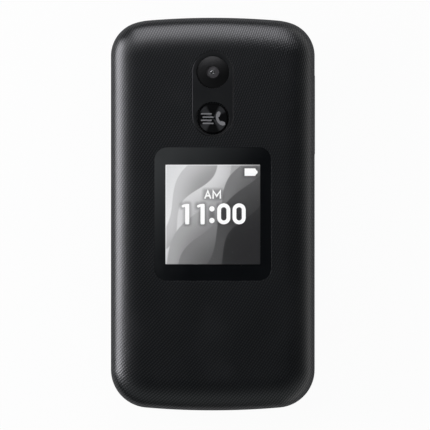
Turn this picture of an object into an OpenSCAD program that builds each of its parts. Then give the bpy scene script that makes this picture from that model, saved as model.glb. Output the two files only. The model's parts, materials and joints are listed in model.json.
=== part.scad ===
// Clamshell flip phone, closed and lying on its back cover.
// Millimetres. The origin is the centre of the footprint on the resting face;
// +X is the side with the volume rocker, +Y the hinge end, +Z out of the lid's outer face.

/* [Overall] */
// Width of the closed phone
phone_w = 55; // [52:0.5:60]
// Length of the closed phone
phone_l = 106; // [104:0.5:114]
// Thickness of the keypad half
base_t = 9.6; // [9.4:0.1:10.6]
// Thickness of the lid
lid_t = 9; // [8.8:0.1:10.4]
// Gap between the closed halves
lid_gap = 0.3; // [0.25:0.05:0.5]

/* [Plan outline] */
// Radius of the gently bowed ends
end_arc_r = 210; // [180:5:300]
// Corner radius at the hinge end
head_corner_r = 9.3; // [9:0.1:10]
// Radius of the arc that leads from the hinge end into its corners
head_shoulder_r = 16.8; // [15:0.2:19]
// How far that arc's centre lies in from the side
head_shoulder_in = 11.6; // [11:0.1:12.2]
// Corner radius at the microphone end
foot_corner_r = 10.3; // [9.5:0.1:10.6]
// Radius of the arc that leads from the microphone end into its corners
foot_shoulder_r = 17.8; // [15.5:0.2:20]
// How far that arc's centre lies in from the side
foot_shoulder_in = 11.1; // [10.8:0.1:12]

/* [Lid shell] */
// Width of the rolled edge of the outer cover
lid_roll_w = 8.5; // [7:0.1:8.6]
// Height of the rolled edge of the outer cover
lid_roll_h = 4.4; // [3.8:0.1:4.6]
// Fullness of every rolled edge, 2 being an ellipse
roll_power = 2.2; // [2:0.1:2.8]
// Side wall of the outer cover
cover_wall = 1.2; // [1:0.1:1.4]
// Top wall of the outer cover
cover_top = 1.4; // [1.3:0.05:1.6]
// Thickness of the inner frame that closes the lid
frame_t = 1.5; // [1.4:0.05:1.7]

/* [Outer display] */
// Width of the outer window
window_w = 31.5; // [29:0.5:34]
// Length of the outer window
window_l = 36; // [32:0.5:37]
// Corner radius of the outer window
window_r = 3.4; // [2:0.1:5]
// Thickness of the outer window
window_t = 0.8; // [0.6:0.05:0.9]
// Width of the lit area behind the outer window
screen_w = 25.5; // [22:0.5:26]
// Length of the lit area behind the outer window
screen_l = 26.8; // [22:0.2:28]
// Offset of the lit area towards the microphone end
screen_down = 0.1; // [0:0.1:0.5]
// Thickness of the outer display module
outer_display_t = 1.9; // [1.6:0.1:2.1]

/* [Camera and quick key] */
// Width of the capsule plate around camera and key
plate_w = 11.2; // [10.8:0.1:12]
// Length of the capsule plate
plate_l = 23.1; // [22.8:0.1:23.6]
// Distance of the plate's centre from the hinge end
plate_from_head = 20.6; // [20.4:0.1:21]
// Distance of the camera's centre from the end of the plate
camera_from_end = 5.65; // [5.4:0.05:5.9]
// Thickness of the capsule plate
plate_t = 0.8; // [0.6:0.05:0.9]
// How far the capsule plate stands above the lid
plate_proud = 0.1; // [0.05:0.05:0.2]
// Distance between camera and quick key
camera_to_key = 12.5; // [12:0.1:12.8]
// Radius of the camera's front ring
camera_r = 4.4; // [4:0.1:4.6]
// Radius of the camera's glass
lens_r = 1.7; // [1.5:0.1:2]
// Radius of the quick key
quick_key_r = 4.15; // [3.9:0.05:4.3]
// Dark gap around the quick key
quick_key_gap = 0.4; // [0.3:0.05:0.45]
// Travel of the quick key
quick_key_travel = 0.3; // [0.2:0.05:0.3]

/* [Main display] */
// Distance of the main window from the sides
main_window_side_in = 4.1; // [3.8:0.1:5.5]
// Distance of the main window from the hinge end
main_window_from_head = 22.5; // [22:0.5:28]
// Distance of the main window from the microphone end
main_window_from_foot = 11.5; // [11:0.1:12]
// Thickness of the main window
main_window_t = 0.8; // [0.7:0.05:0.9]
// Dark border at each side of the main display's lit area
main_border_side = 1.8; // [1.7:0.1:3.4]
// Dark border at its two ends, taken together
main_border_ends = 14.4; // [14:0.2:18]
// Thickness of the main display module
main_display_t = 2; // [1.6:0.1:2.2]

/* [Hinge] */
// Distance of the hinge axis from the hinge end
hinge_in = 7; // [6.9:0.1:7.4]
// Radius of the hinge barrel
barrel_r = 5.5; // [5:0.1:5.6]
// Length of the lid's knuckle in the middle of the barrel
knuckle_w = 27.7; // [26:0.1:30]
// Gap between the knuckle's ends and the ears
knuckle_gap = 0.2; // [0.15:0.05:0.4]
// Clearance around the barrel
barrel_gap = 0.25; // [0.2:0.05:0.4]
// Radius of the bore through the knuckle
knuckle_bore_r = 3.3; // [3:0.1:3.5]
// How far the ears stop short of the sides
ear_end_in = 2.2; // [2.2:0.1:3]
// Opening angle of the lid
lid_open = 155; // [140:1:156]
// Angle of the lid's rim behind the hinge
rim_angle = 34; // [33:0.5:36]
// Angle left between the opened rim and the keypad half
rim_clear = 5.5; // [5:0.5:7]

/* [Keypad half] */
// How far the keypad half lies inside the lid's outline
base_inset = 0.25; // [0.2:0.05:0.4]
// Width of the rolled back edge
back_roll_w = 7; // [6:0.1:7.4]
// Height of the rolled back edge
back_roll_h = 4; // [3.4:0.1:4.2]
// Rounding of the edge around the keypad face
face_roll = 0.8; // [0.5:0.1:0.9]
// Height of the joint line between the housings
split_z = 5.6; // [5.5:0.05:5.8]
// Wall of the front housing
base_wall = 1.3; // [1.2:0.05:1.4]
// Thickness of the keypad face
face_t = 1; // [0.9:0.05:1.1]
// Wall of the battery cover
back_wall = 1.2; // [1:0.05:1.3]
// Gap around the battery cover
back_gap = 0.15; // [0.1:0.05:0.25]
// Distance of the battery cover's edge from the hinge end
back_edge_in = 20; // [19.8:0.1:20.2]

/* [Keys] */
// Distance of the number keys from the sides
key_side_in = 3.8; // [3.6:0.1:4.4]
// Space between the columns
key_column_gap = 1.2; // [1.1:0.1:2.7]
// Space between the rows
key_row_gap = 1.6; // [1.5:0.1:2.8]
// Distance of the first row's middle from the hinge end
key_row_in = 51.4; // [51.2:0.1:51.6]
// Distance of the last row's middle from the microphone end
key_last_row_in = 19.2; // [19:0.1:19.6]
// Corner radius of the keys
key_corner_r = 2.4; // [1:0.1:3]
// Radius of the navigation ring
nav_r = 9.6; // [9:0.1:9.8]
// Radius of the select key inside it
select_r = 4.9; // [4.2:0.1:5.2]
// Distance of the navigation ring's centre from the hinge end
nav_in = 28; // [27.8:0.1:28.2]
// Width of the keys beside the ring
side_key_w = 12.6; // [11:0.1:12.7]
// Length of the keys beside the ring
side_key_l = 7.6; // [6.5:0.1:7.8]
// Distance of their centres from the sides
side_key_in = 10.2; // [10.1:0.1:10.4]
// Distance between the two rows beside the ring
side_key_pitch = 9.2; // [9:0.1:9.4]
// Width of the clear key
clear_key_w = 13; // [11:0.5:14]
// Length of the clear key
clear_key_l = 5; // [4.5:0.1:5.2]
// Gap around each key
key_gap = 0.15; // [0.1:0.05:0.2]
// How far the keys stand above the face
key_proud = 0.1; // [0.05:0.05:0.15]
// Lip that holds each key under the face
key_lip = 0.25; // [0.2:0.05:0.3]
// Travel of the keys
key_travel = 0.25; // [0.15:0.05:0.25]

/* [Volume rocker] */
// Length of the rocker
rocker_l = 21.6; // [20:0.2:22]
// Height of the rocker
rocker_h = 2.1; // [1.8:0.1:2.2]
// Distance of its centre from the hinge end
rocker_in = 26.2; // [26:0.1:26.6]
// How far it stands out past the lid's side
rocker_proud = 0.12; // [0.05:0.01:0.3]
// Travel of the rocker
rocker_travel = 0.3; // [0.2:0.05:0.3]

/* [Battery] */
// Distance of the battery from the sides
battery_side_in = 8.5; // [8.2:0.1:10.5]
// Distance of the battery from the hinge end
battery_from_head = 44.4; // [44.2:0.2:52]
// Distance of the battery from the microphone end
battery_from_foot = 14.4; // [14.2:0.2:16]
// Thickness of the battery
battery_t = 4.2; // [3.8:0.1:4.3]

/* [Sockets] */
// Radius of the audio socket's bore
jack_bore_r = 1.8; // [1.77:0.01:1.85]
// Depth of the audio socket's bore
jack_bore_l = 11.5; // [11:0.1:11.7]
// Distance of the audio socket from the middle
jack_x = 13; // [11.5:0.1:14]
// Width of the charging socket
usb_w = 7.5; // [6.9:0.1:8]
// Height of the charging socket
usb_h = 2.45; // [2.2:0.05:2.5]
// Length of the charging socket
usb_l = 5; // [4.6:0.1:5.4]

/* [Hidden] */

$fn = 48;
cut = 0.2;              // how far a cutting tool passes the face it cuts
snug = 0.05;            // clearance of a piece seated in its pocket
rest_gap = 0.05;        // gap between a key at rest and the face or switch it meets
ledge = 0.6;            // ledge under a window or plate
end_steps = 4;          // flats on half of an end arc
shoulder_steps = 4;     // flats on a shoulder arc
corner_steps = 7;       // flats on a corner arc
roll_steps = 7;         // flats across a rolled edge
plastic_charcoal = [0.13, 0.135, 0.14];
plastic_dark = [0.07, 0.07, 0.075];
board_green = [0.05, 0.25, 0.13];
steel = [0.7, 0.7, 0.72];
gloss_black = [0.02, 0.02, 0.025];
key_grey = [0.2, 0.2, 0.21];

half_w = phone_w / 2;
half_l = phone_l / 2;
lid_z = base_t + lid_gap;                  // lid's inner face
top_z = lid_z + lid_t;                     // lid's outer face
seam_z = lid_z + frame_t;                  // joint between inner frame and outer cover
hinge_y = half_l - hinge_in;
hinge_z = base_t + lid_gap / 2;
relief_angle = rim_angle - lid_open - rim_clear;
knuckle_half = knuckle_w / 2;
ear_start = knuckle_half + knuckle_gap;
ear_end = half_w - ear_end_in;
ear_round = 7.8;                           // length of an ear's rounded end
ear_tip_r = 0.8;                           // radius left at an ear's tip
ear_power = 1.5;                           // fullness of an ear's rounded end
ear_steps = 8;                             // cones along an ear's rounded end

// ---- plan outline, as a ring of points drawn in by inset ----

// Half of one end: points from the middle of the end to the side, clockwise.
function end_points(corner, shoulder, centre_in, inset) =
    let (
        a_end = asin((half_w - centre_in) / (end_arc_r - shoulder)),
        a_shoulder = asin((centre_in - corner) / (shoulder - corner)),
        c_end = [0, half_l - end_arc_r],
        c_shoulder = c_end + (end_arc_r - shoulder) * [sin(a_end), cos(a_end)],
        c_corner = c_shoulder + (shoulder - corner) * [sin(a_shoulder), cos(a_shoulder)]
    )
    concat(
        arc(c_end, end_arc_r - inset, 0, a_end, end_steps),
        arc(c_shoulder, shoulder - inset, a_end, a_shoulder, shoulder_steps),
        arc(c_corner, corner - inset, a_shoulder, 90, corner_steps),
        [c_corner + [corner - inset, 0]]
    );

// Points on an arc by bearing from +Y, without the last one.
function arc(centre, r, from, to, steps) = [
    for (i = [0:steps - 1])
        let (a = from + (to - from) * i / steps) centre + r * [sin(a), cos(a)]
];

// How far an end's bow has fallen back at a distance x from the middle.
function end_sag(x) = end_arc_r - sqrt(end_arc_r * end_arc_r - x * x);

function reversed(list) = [for (i = [len(list) - 1:-1:0]) list[i]];
function without_first(list) = [for (i = [1:len(list) - 1]) list[i]];

// The whole outline, anticlockwise from the middle of the hinge end.
function outline(inset) =
    let (
        head = end_points(head_corner_r, head_shoulder_r, head_shoulder_in, inset),
        foot = end_points(foot_corner_r, foot_shoulder_r, foot_shoulder_in, inset)
    )
    concat(
        [for (p = head) [-p[0], p[1]]],
        [for (p = reversed(foot)) [-p[0], -p[1]]],
        [for (p = without_first(foot)) [p[0], -p[1]]],
        reversed(without_first(head))
    );

// Rings [inset, height] of a rolled edge that rises by h over a width w.
function roll(inset, z, w, h, steps) = [
    for (i = [1:steps])
        let (t = 90 * i / steps)
            [inset + w * (1 - pow(cos(t), 2 / roll_power)), z + h * pow(sin(t), 2 / roll_power)]
];

// A solid through rings of [inset, height], lowest ring first.
module ringed(rings) {
    count = len(outline(0));
    points = [for (r = rings) for (p = outline(r[0])) [p[0], p[1], r[1]]];
    last = len(rings) - 1;
    polyhedron(
        points = points,
        faces = concat(
            [[for (i = [0:count - 1]) i]],
            [[for (i = [count - 1:-1:0]) last * count + i]],
            [
                for (k = [0:last - 1]) for (i = [0:count - 1])
                    let (j = (i + 1) % count)
                        [k * count + i, (k + 1) * count + i, (k + 1) * count + j, k * count + j]
            ]
        )
    );
}

module slab(inset, z0, z1) {
    translate([0, 0, z0]) linear_extrude(z1 - z0) polygon(outline(inset));
}

// ---- small shapes ----

module box(w, l, h, at) {
    translate([at[0] - w / 2, at[1] - l / 2, at[2]]) cube([w, l, h]);
}

module disc(r, h, at) {
    translate(at) cylinder(r = r, h = h);
}

// Rounded rectangle centred on the origin.
module rounded(w, l, r, steps = 6) {
    polygon([
        for (q = [0:3]) for (i = [0:steps])
            let (
                a = 90 * q + 90 * i / steps,
                sx = (q == 0 || q == 3) ? 1 : -1,
                sy = (q < 2) ? 1 : -1
            )
                [sx * (w / 2 - r) + r * cos(a), sy * (l / 2 - r) + r * sin(a)]
    ]);
}

module rounded_box(w, l, r, h, at) {
    translate(at) linear_extrude(h) rounded(w, l, r);
}

// A shape drawn in (distance from hinge axis, height over it), run along X from x0 to x1.
module along_x(points, x0, x1) {
    translate([x0, hinge_y, hinge_z]) rotate([90, 0, 90]) linear_extrude(x1 - x0) polygon(points);
}

module rod_x(r, x0, x1) {
    translate([x0, hinge_y, hinge_z]) rotate([0, 90, 0]) cylinder(r = r, h = x1 - x0);
}

// ---- lid ----

cover_z = top_z - cover_top;               // underside of the outer cover's top wall
ledge_z = top_z - window_t - ledge;        // underside of the outer window's ledge
plate_y = half_l - plate_from_head;
plate_z = top_z + plate_proud - plate_t;   // seat of the capsule plate
camera_y = plate_y + plate_l / 2 - camera_from_end;
quick_key_y = camera_y - camera_to_key;
main_window_w = phone_w - 2 * main_window_side_in;
main_window_l = phone_l - main_window_from_head - main_window_from_foot;
main_window_y = -half_l + main_window_from_foot + main_window_l / 2;
main_screen_w = main_window_w - 2 * main_border_side;
main_screen_l = main_window_l - main_border_ends;
main_window_recess = 0.15;
main_window_z = lid_z + main_window_recess;
main_screen_y = main_window_y - 1.5;
module_margin = 1.2;                       // a display module beyond its lit area
sight_margin = 0.5;                        // opening in the cover beyond the lit area
main_sight_margin = 0.3;                   // opening in the inner frame beyond it
main_window_r = 2.5;
camera_seat_w = 0.8;                       // ledge that carries the camera ring
board_z = seam_z + main_display_t;
lid_board_t = 0.8;
lid_board_top = board_z + lid_board_t;
screw_head_r = 1.5;
screw_r = 0.7;
boss_r = 2;
lid_screw_foot_in = 6.7;                   // lid screws from the microphone end
lid_screw_head_in = 19.2;                  // lid screws from the hinge end
lid_screw_side_in = 5.8;
lid_screw_l = 4;
head_seat_z = lid_z + 1.1;                 // seat of a lid screw's head
bumper_proud = 0.2;
bumper_t = 0.6;
lid_screw_places = [
    for (s = [-1, 1]) each [
        [s * (half_w - lid_screw_side_in), -half_l + lid_screw_foot_in],
        [s * (half_w - lid_screw_side_in), half_l - lid_screw_head_in]
    ]
];
earpiece_y = -half_l + lid_screw_foot_in;
slot_w = 12;
slot_l = 1.8;

module lid_outside() {
    ringed(concat(
        [[0, seam_z], [0, top_z - lid_roll_h]],
        roll(0, top_z - lid_roll_h, lid_roll_w, lid_roll_h, roll_steps)
    ));
}

module lid_inside() {
    inner_h = lid_roll_h - cover_top;
    ringed(concat(
        [[cover_wall, seam_z - cut], [cover_wall, top_z - lid_roll_h]],
        roll(cover_wall, top_z - lid_roll_h, lid_roll_w - cover_wall, inner_h, roll_steps - 2)
    ));
}

// What the lid's rim leaves free behind and below the hinge axis.
module rim_relief() {
    reach = phone_l;
    along_x(
        [[0, -reach], [reach, -reach], [reach, reach * tan(rim_angle)], [0, 0]],
        -phone_w, phone_w
    );
}

module lid_outer_cover() color(plastic_charcoal) {
    difference() {
        union() {
            difference() {
                lid_outside();
                lid_inside();
            }
            intersection() {
                lid_outside();
                for (p = lid_screw_places) disc(boss_r, lid_t, [p[0], p[1], seam_z]);
            }
        }
        rim_relief();
        for (p = lid_screw_places)
            disc(screw_r + snug, lid_screw_l, [p[0], p[1], seam_z - cut]);
        rounded_box(window_w + 2 * snug, window_l + 2 * snug, window_r, window_t + cut,
            [0, 0, top_z - window_t]);
        box(screen_w + 2 * sight_margin, screen_l + 2 * sight_margin, cover_top + 2 * cut,
            [0, -screen_down, cover_z - cut]);
        rounded_box(plate_w + 2 * snug, plate_l + 2 * snug, plate_w / 2, plate_t + cut,
            [0, plate_y, plate_z]);
        disc(camera_r - camera_seat_w, cover_top + 2 * cut, [0, camera_y, cover_z - cut]);
        disc(quick_stem_r + key_gap, cover_top + 2 * cut, [0, quick_key_y, cover_z - cut]);
    }
}

module lid_inner_frame() color(plastic_dark) {
    bridge_l = 4;           // block that ties the knuckle to the plate
    bridge_h = 3.2;
    flex_slot_z = 2;        // floor of the slot over the axis
    flex_slot_end = -0.8;   // its inner end, from the axis
    flex_gap = 0.5;
    difference() {
        union() {
            difference() {
                slab(0, lid_z, seam_z);
                rim_relief();
                for (s = [0, 1]) mirror([s, 0, 0]) ear(barrel_gap);
                rod_x(barrel_r + barrel_gap, -ear_start - cut, ear_start + cut);
            }
            box(knuckle_w, bridge_l, bridge_h, [0, hinge_y - barrel_r - 1, lid_z]);
            rod_x(barrel_r, -knuckle_half, knuckle_half);
        }
        rod_x(knuckle_bore_r, -knuckle_half - cut, knuckle_half + cut);
        rounded_box(main_window_w + 2 * snug, main_window_l + 2 * snug, main_window_r,
            main_window_t + main_window_recess + cut, [0, main_window_y, lid_z - cut]);
        box(main_screen_w + 2 * main_sight_margin, main_screen_l + 2 * main_sight_margin,
            frame_t + 2 * cut, [0, main_screen_y, lid_z - cut]);
        for (p = lid_screw_places) {
            disc(screw_head_r + snug, head_seat_z - lid_z + cut, [p[0], p[1], lid_z - cut]);
            disc(screw_r + snug, frame_t + cut, [p[0], p[1], lid_z]);
        }
        rounded_box(slot_w + 2 * snug, slot_l + 2 * snug, slot_l / 2, frame_t + 2 * cut,
            [0, earpiece_y, lid_z - cut]);
        // slot that lets the flexible circuit into the knuckle
        along_x([
            [-barrel_r - 1, flex_slot_z], [flex_slot_end, flex_slot_z],
            [flex_slot_end, barrel_r + bridge_h], [-barrel_r - 1, barrel_r + bridge_h]
        ], flex_x0 - flex_gap, flex_x0 + flex_w + flex_gap);
    }
}

module outer_window() color(gloss_black) {
    rounded_box(window_w, window_l, window_r, window_t, [0, 0, top_z - window_t]);
}

module outer_display() color([0.3, 0.3, 0.32]) {
    box(screen_w + 2 * module_margin, screen_l + 2 * module_margin, outer_display_t,
        [0, -screen_down, cover_z - outer_display_t]);
}

module camera_trim_plate() color([0.11, 0.115, 0.12]) {
    difference() {
        rounded_box(plate_w, plate_l, plate_w / 2, plate_t, [0, plate_y, plate_z]);
        disc(camera_r + snug, plate_t + 2 * cut, [0, camera_y, plate_z - cut]);
        disc(quick_key_r + quick_key_gap, plate_t + 2 * cut, [0, quick_key_y, plate_z - cut]);
    }
}

module camera_ring() color(gloss_black) {
    rim_drop = 0.3;         // the ring falls this much from lens to edge
    translate([0, camera_y, plate_z])
        rotate_extrude()
            polygon([
                [lens_r + snug, 0], [camera_r, 0], [camera_r, plate_t - rim_drop],
                [lens_r + snug, plate_t]
            ]);
}

module camera_lens() color([0.25, 0.25, 0.27]) {
    lens_drop = 0.1;        // how far the glass lies below the ring
    disc(lens_r, plate_t - lens_drop, [0, camera_y, plate_z]);
}

module camera_module() color(plastic_dark) {
    camera_box = 7.8;
    camera_box_h = 2.4;
    barrel_top_z = plate_z - 0.3;
    box(camera_box, camera_box, camera_box_h, [0, camera_y, lid_board_top]);
    disc(3, barrel_top_z - lid_board_top, [0, camera_y, lid_board_top]);
}

quick_stem_r = 3.1;
quick_disc_t = 0.4;
quick_switch_t = 0.35;
module quick_key() color([0.35, 0.35, 0.36]) {
    key_drop = 0.05;        // how far the key lies below the plate
    disc_z = top_z + plate_proud - key_drop - quick_disc_t;
    flange_t = 0.5;
    flange_z = cover_z - 0.1 - flange_t;
    plunger_z = lid_board_top + quick_switch_t + quick_key_travel + rest_gap;
    plunger_r = 1.2;
    disc(quick_key_r, quick_disc_t, [0, quick_key_y, disc_z]);
    disc(quick_stem_r, disc_z - flange_z, [0, quick_key_y, flange_z]);
    disc(quick_stem_r + 0.7, flange_t, [0, quick_key_y, flange_z]);
    disc(plunger_r, flange_z - plunger_z, [0, quick_key_y, plunger_z]);
}

module quick_key_switch() color(steel) {
    box(5, 5, quick_switch_t, [0, quick_key_y, lid_board_top]);
}

earpiece_w = 13;
earpiece_l = 5.4;
earpiece_t = 2.2;
module earpiece() color(plastic_dark) {
    box(earpiece_w, earpiece_l, earpiece_t, [0, earpiece_y, seam_z]);
}

mesh_t = 0.4;
mesh_drop = 0.3;                           // how far the mesh lies below the inner face
module earpiece_mesh() color(steel) {
    rounded_box(slot_w, slot_l, slot_l / 2, mesh_t, [0, earpiece_y, lid_z + mesh_drop]);
}

module main_window() color(gloss_black) {
    rounded_box(main_window_w, main_window_l, main_window_r, main_window_t,
        [0, main_window_y, main_window_z]);
}

module main_display() color([0.25, 0.26, 0.28]) {
    box(main_screen_w + 2 * module_margin, main_screen_l + 2 * module_margin,
        main_display_t, [0, main_screen_y, seam_z]);
}

lid_board_side_in = 7;
lid_board_w = phone_w - 2 * lid_board_side_in;
lid_board_y0 = main_screen_y - main_screen_l / 2 + 4;
lid_board_y1 = hinge_y - 5;
lid_board_neck = 24;
lid_board_shoulder_in = 26;                // where the board narrows, from the hinge end
module lid_board() color(board_green) {
    shoulder_y = half_l - lid_board_shoulder_in;
    translate([-lid_board_w / 2, lid_board_y0, board_z])
        cube([lid_board_w, shoulder_y - lid_board_y0, lid_board_t]);
    translate([-lid_board_neck / 2, shoulder_y, board_z])
        cube([lid_board_neck, lid_board_y1 - shoulder_y, lid_board_t]);
}

motor_r = 4;
motor_t = 2.7;
motor_side_in = 14.5;
motor_gap = 3;                             // between the motor and the lit area of the display
module vibration_motor() color(steel) {
    disc(motor_r, motor_t,
        [-half_w + motor_side_in, -screen_l / 2 - motor_gap - motor_r, lid_board_top]);
}

magnet_w = 6;
magnet_l = 2;
magnet_t = 1.6;
magnet_side_in = 14.5;
module lid_magnet() color(steel) {
    box(magnet_w, magnet_l, magnet_t, [half_w - magnet_side_in, earpiece_y, seam_z]);
}

module lid_screws() color(steel) {
    head_t = 0.6;
    for (p = lid_screw_places) {
        disc(screw_head_r, head_t, [p[0], p[1], head_seat_z - head_t]);
        disc(screw_r, lid_screw_l - 0.2 + seam_z - head_seat_z, [p[0], p[1], head_seat_z - 0.1]);
    }
}

module lid_bumpers() color([0.03, 0.03, 0.03]) {
    for (p = lid_screw_places)
        disc(screw_head_r, bumper_t, [p[0], p[1], lid_z - bumper_proud]);
}

// ---- hinge ----

// One ear of the barrel on the +X side, enlarged all round by grow.
module ear(grow = 0) {
    x0 = ear_start - grow;
    x1 = ear_end - ear_round;
    translate([0, hinge_y, hinge_z])
        rotate([0, 90, 0])
            rotate_extrude()
                polygon(concat(
                    [[0, x0], [barrel_r + grow, x0]],
                    [
                        for (i = [0:ear_steps])
                            let (t = i / ear_steps)
                                [
                                    ear_tip_r + (barrel_r - ear_tip_r) * (1 - pow(t, ear_power)) + grow,
                                    x1 + ear_round * t + (i == ear_steps ? grow : 0)
                                ]
                    ],
                    [[0, ear_end + grow]]
                ));
}

cam_shaft_r = 1.5;
cam_key_w = 3;
cam_key_l = 5;
cartridge_l = 12;
module hinge_cartridge() color(steel) {
    bore_depth = 9;
    difference() {
        rod_x(knuckle_bore_r - snug, knuckle_half - cartridge_l, knuckle_half);
        rod_x(cam_shaft_r + snug, knuckle_half - bore_depth, knuckle_half + cut);
    }
}

module hinge_cam_shaft() color(steel) {
    rod_x(cam_shaft_r, knuckle_half - 8, ear_start + cam_key_l);
    translate([ear_start, hinge_y - cam_key_w / 2, hinge_z - cam_key_w / 2])
        cube([cam_key_l, cam_key_w, cam_key_w]);
}

bush_r = 3.2;
bush_bore_r = 2.3;
bush_l = 9.3;
bush_in = 5;
module hinge_bush() color(plastic_dark) {
    difference() {
        rod_x(bush_r, -ear_start - bush_in, -ear_start - bush_in + bush_l);
        rod_x(bush_bore_r, -ear_start - bush_in - cut, -ear_start - bush_in + bush_l + cut);
    }
}

flex_t = 0.2;
flex_w = 5;
flex_x0 = -9.3;
flex_roll_r = 1.8;
module hinge_flex() color([0.6, 0.4, 0.1]) {
    roll_x0 = -ear_start - bush_in + 1;
    board_h = lid_board_top - hinge_z;
    start = -8;             // where the circuit leaves the board, from the axis
    bend = -3.3;            // where it turns down into the knuckle
    touch = 0.72 * flex_roll_r;
    difference() {
        rod_x(flex_roll_r, roll_x0, flex_x0 + flex_w);
        rod_x(flex_roll_r - flex_t, roll_x0 - cut, flex_x0 + flex_w + cut);
    }
    along_x([
        [start, board_h], [bend - flex_t / 2, board_h], [-touch - 0.08, touch - 0.18],
        [-touch + 0.08, touch - 0.02], [bend + flex_t / 2, board_h + flex_t],
        [start, board_h + flex_t]
    ], flex_x0, flex_x0 + flex_w);
}

// ---- keypad half ----

face_z = base_t - face_t;                  // underside of the keypad face
tray_inset = base_inset + back_wall + back_gap;
tray_z = back_wall + 0.2;                  // lowest face of the inner tray
back_edge_y = half_l - back_edge_in;
cavity_end_y = hinge_y - barrel_r - barrel_gap - 1.05;
board_gap = 0.2;
bay_gap = 0.4;                             // clearance round the battery
battery_z = tray_z + 0.3;
battery_w = phone_w - 2 * battery_side_in;
battery_l = phone_l - battery_from_head - battery_from_foot;
battery_y0 = -half_l + battery_from_foot;
bay_y0 = battery_y0 - bay_gap;
bay_y1 = battery_y0 + battery_l + bay_gap;
bay_roof_z = battery_z + battery_t + 0.1;
bay_roof_t = 0.4;
bay_wall = 1;
main_board_z = bay_roof_z + bay_roof_t + board_gap;
main_board_t = 0.8;
dome_z = main_board_z + main_board_t;
dome_sheet_t = 0.1;
dome_h = 0.15;
dome_r = 2;
membrane_t = 0.3;
plunger_z = dome_z + dome_sheet_t + dome_h + key_travel + rest_gap;
key_plunger_r = 1.5;
nav_plunger_r = 1.2;
lip_t = 0.4;
lip_z = face_z - rest_gap - lip_t;
key_top_z = base_t + key_proud;
key_row_y = half_l - key_row_in;
key_pitch_x = (phone_w - 2 * key_side_in + key_column_gap) / 3;
key_w = key_pitch_x - key_column_gap;
key_pitch_y = (key_row_y + half_l - key_last_row_in) / 3;
key_l = key_pitch_y - key_row_gap;
nav_y = half_l - nav_in;
side_key_x = half_w - side_key_in;
side_key_y = nav_y + 5;
clear_key_y = nav_y - nav_r - 1.3 - clear_key_l / 2;
foot_screw_in = 7;
head_screw_in = 16.2;
base_screw_foot_x = half_w - 6.2;
base_screw_head_x = half_w - 6;
base_boss_r = 1.6;
base_screw_places = [
    for (s = [-1, 1]) each [
        [s * base_screw_foot_x, -half_l + foot_screw_in],
        [s * base_screw_head_x, half_l - head_screw_in]
    ]
];
base_head_seat_z = 2.9;
jack_z = 6;
mouth_y = -half_l + base_inset + end_sag(jack_x);
jack_body_w = 6;
jack_body_h = 5;
jack_nose_r = 2.55;
tab_w = 8;
tab_z = 2.8;
usb_z = split_z + 0.25;
rocker_y = half_l - rocker_in;
rocker_z = split_z + 1.7;
rocker_flange_t = 0.85;
rocker_flange_x = half_w - base_inset - base_wall - 0.15 - rocker_flange_t;
rocker_space_x = rocker_flange_x - 1.75;

number_places = [for (r = [0:3]) for (c = [-1:1]) [c * key_pitch_x, key_row_y - r * key_pitch_y]];
side_places = [
    for (s = [-1, 1]) each [
        [s * side_key_x, side_key_y], [s * side_key_x, side_key_y - side_key_pitch]
    ]
];
nav_dome_r = (nav_r + select_r) / 2;
dome_places = concat(
    number_places, side_places,
    [[0, clear_key_y], [0, nav_y]],
    [for (a = [0:90:270]) [nav_dome_r * cos(a), nav_y + nav_dome_r * sin(a)]]
);

module base_outside() {
    back = [
        for (r = reversed(roll(base_inset, 0, back_roll_w, back_roll_h, roll_steps - 1)))
            [r[0], back_roll_h - r[1]]
    ];
    ringed(concat(
        back,
        [[base_inset, back_roll_h], [base_inset, base_t - face_roll]],
        roll(base_inset, base_t - face_roll, face_roll, face_roll, 3)
    ));
}

// The space inside the battery cover, or the tray that fills it when drawn in by gap.
module inside_back(inset, z) {
    inner_h = back_roll_h - z;
    back = [
        for (r = reversed(roll(inset, 0, back_roll_w - back_wall, inner_h, roll_steps - 2)))
            [r[0], z + inner_h - r[1]]
    ];
    ringed(concat(back, [[inset, back_roll_h], [inset, split_z]]));
}

module base_relief() {
    reach = phone_l;
    along_x([
        [0, 0], [reach * cos(relief_angle), reach * sin(relief_angle)],
        [reach, reach * sin(relief_angle)], [reach, reach], [0, reach]
    ], -phone_w, phone_w);
}

module knuckle_space() {
    rod_x(barrel_r + barrel_gap, -ear_start, ear_start);
}

module key_opening(w, l, r, at) {
    rounded_box(w + 2 * key_gap, l + 2 * key_gap, r + key_gap, face_t + 2 * cut,
        [at[0], at[1], face_z - cut]);
}

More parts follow.
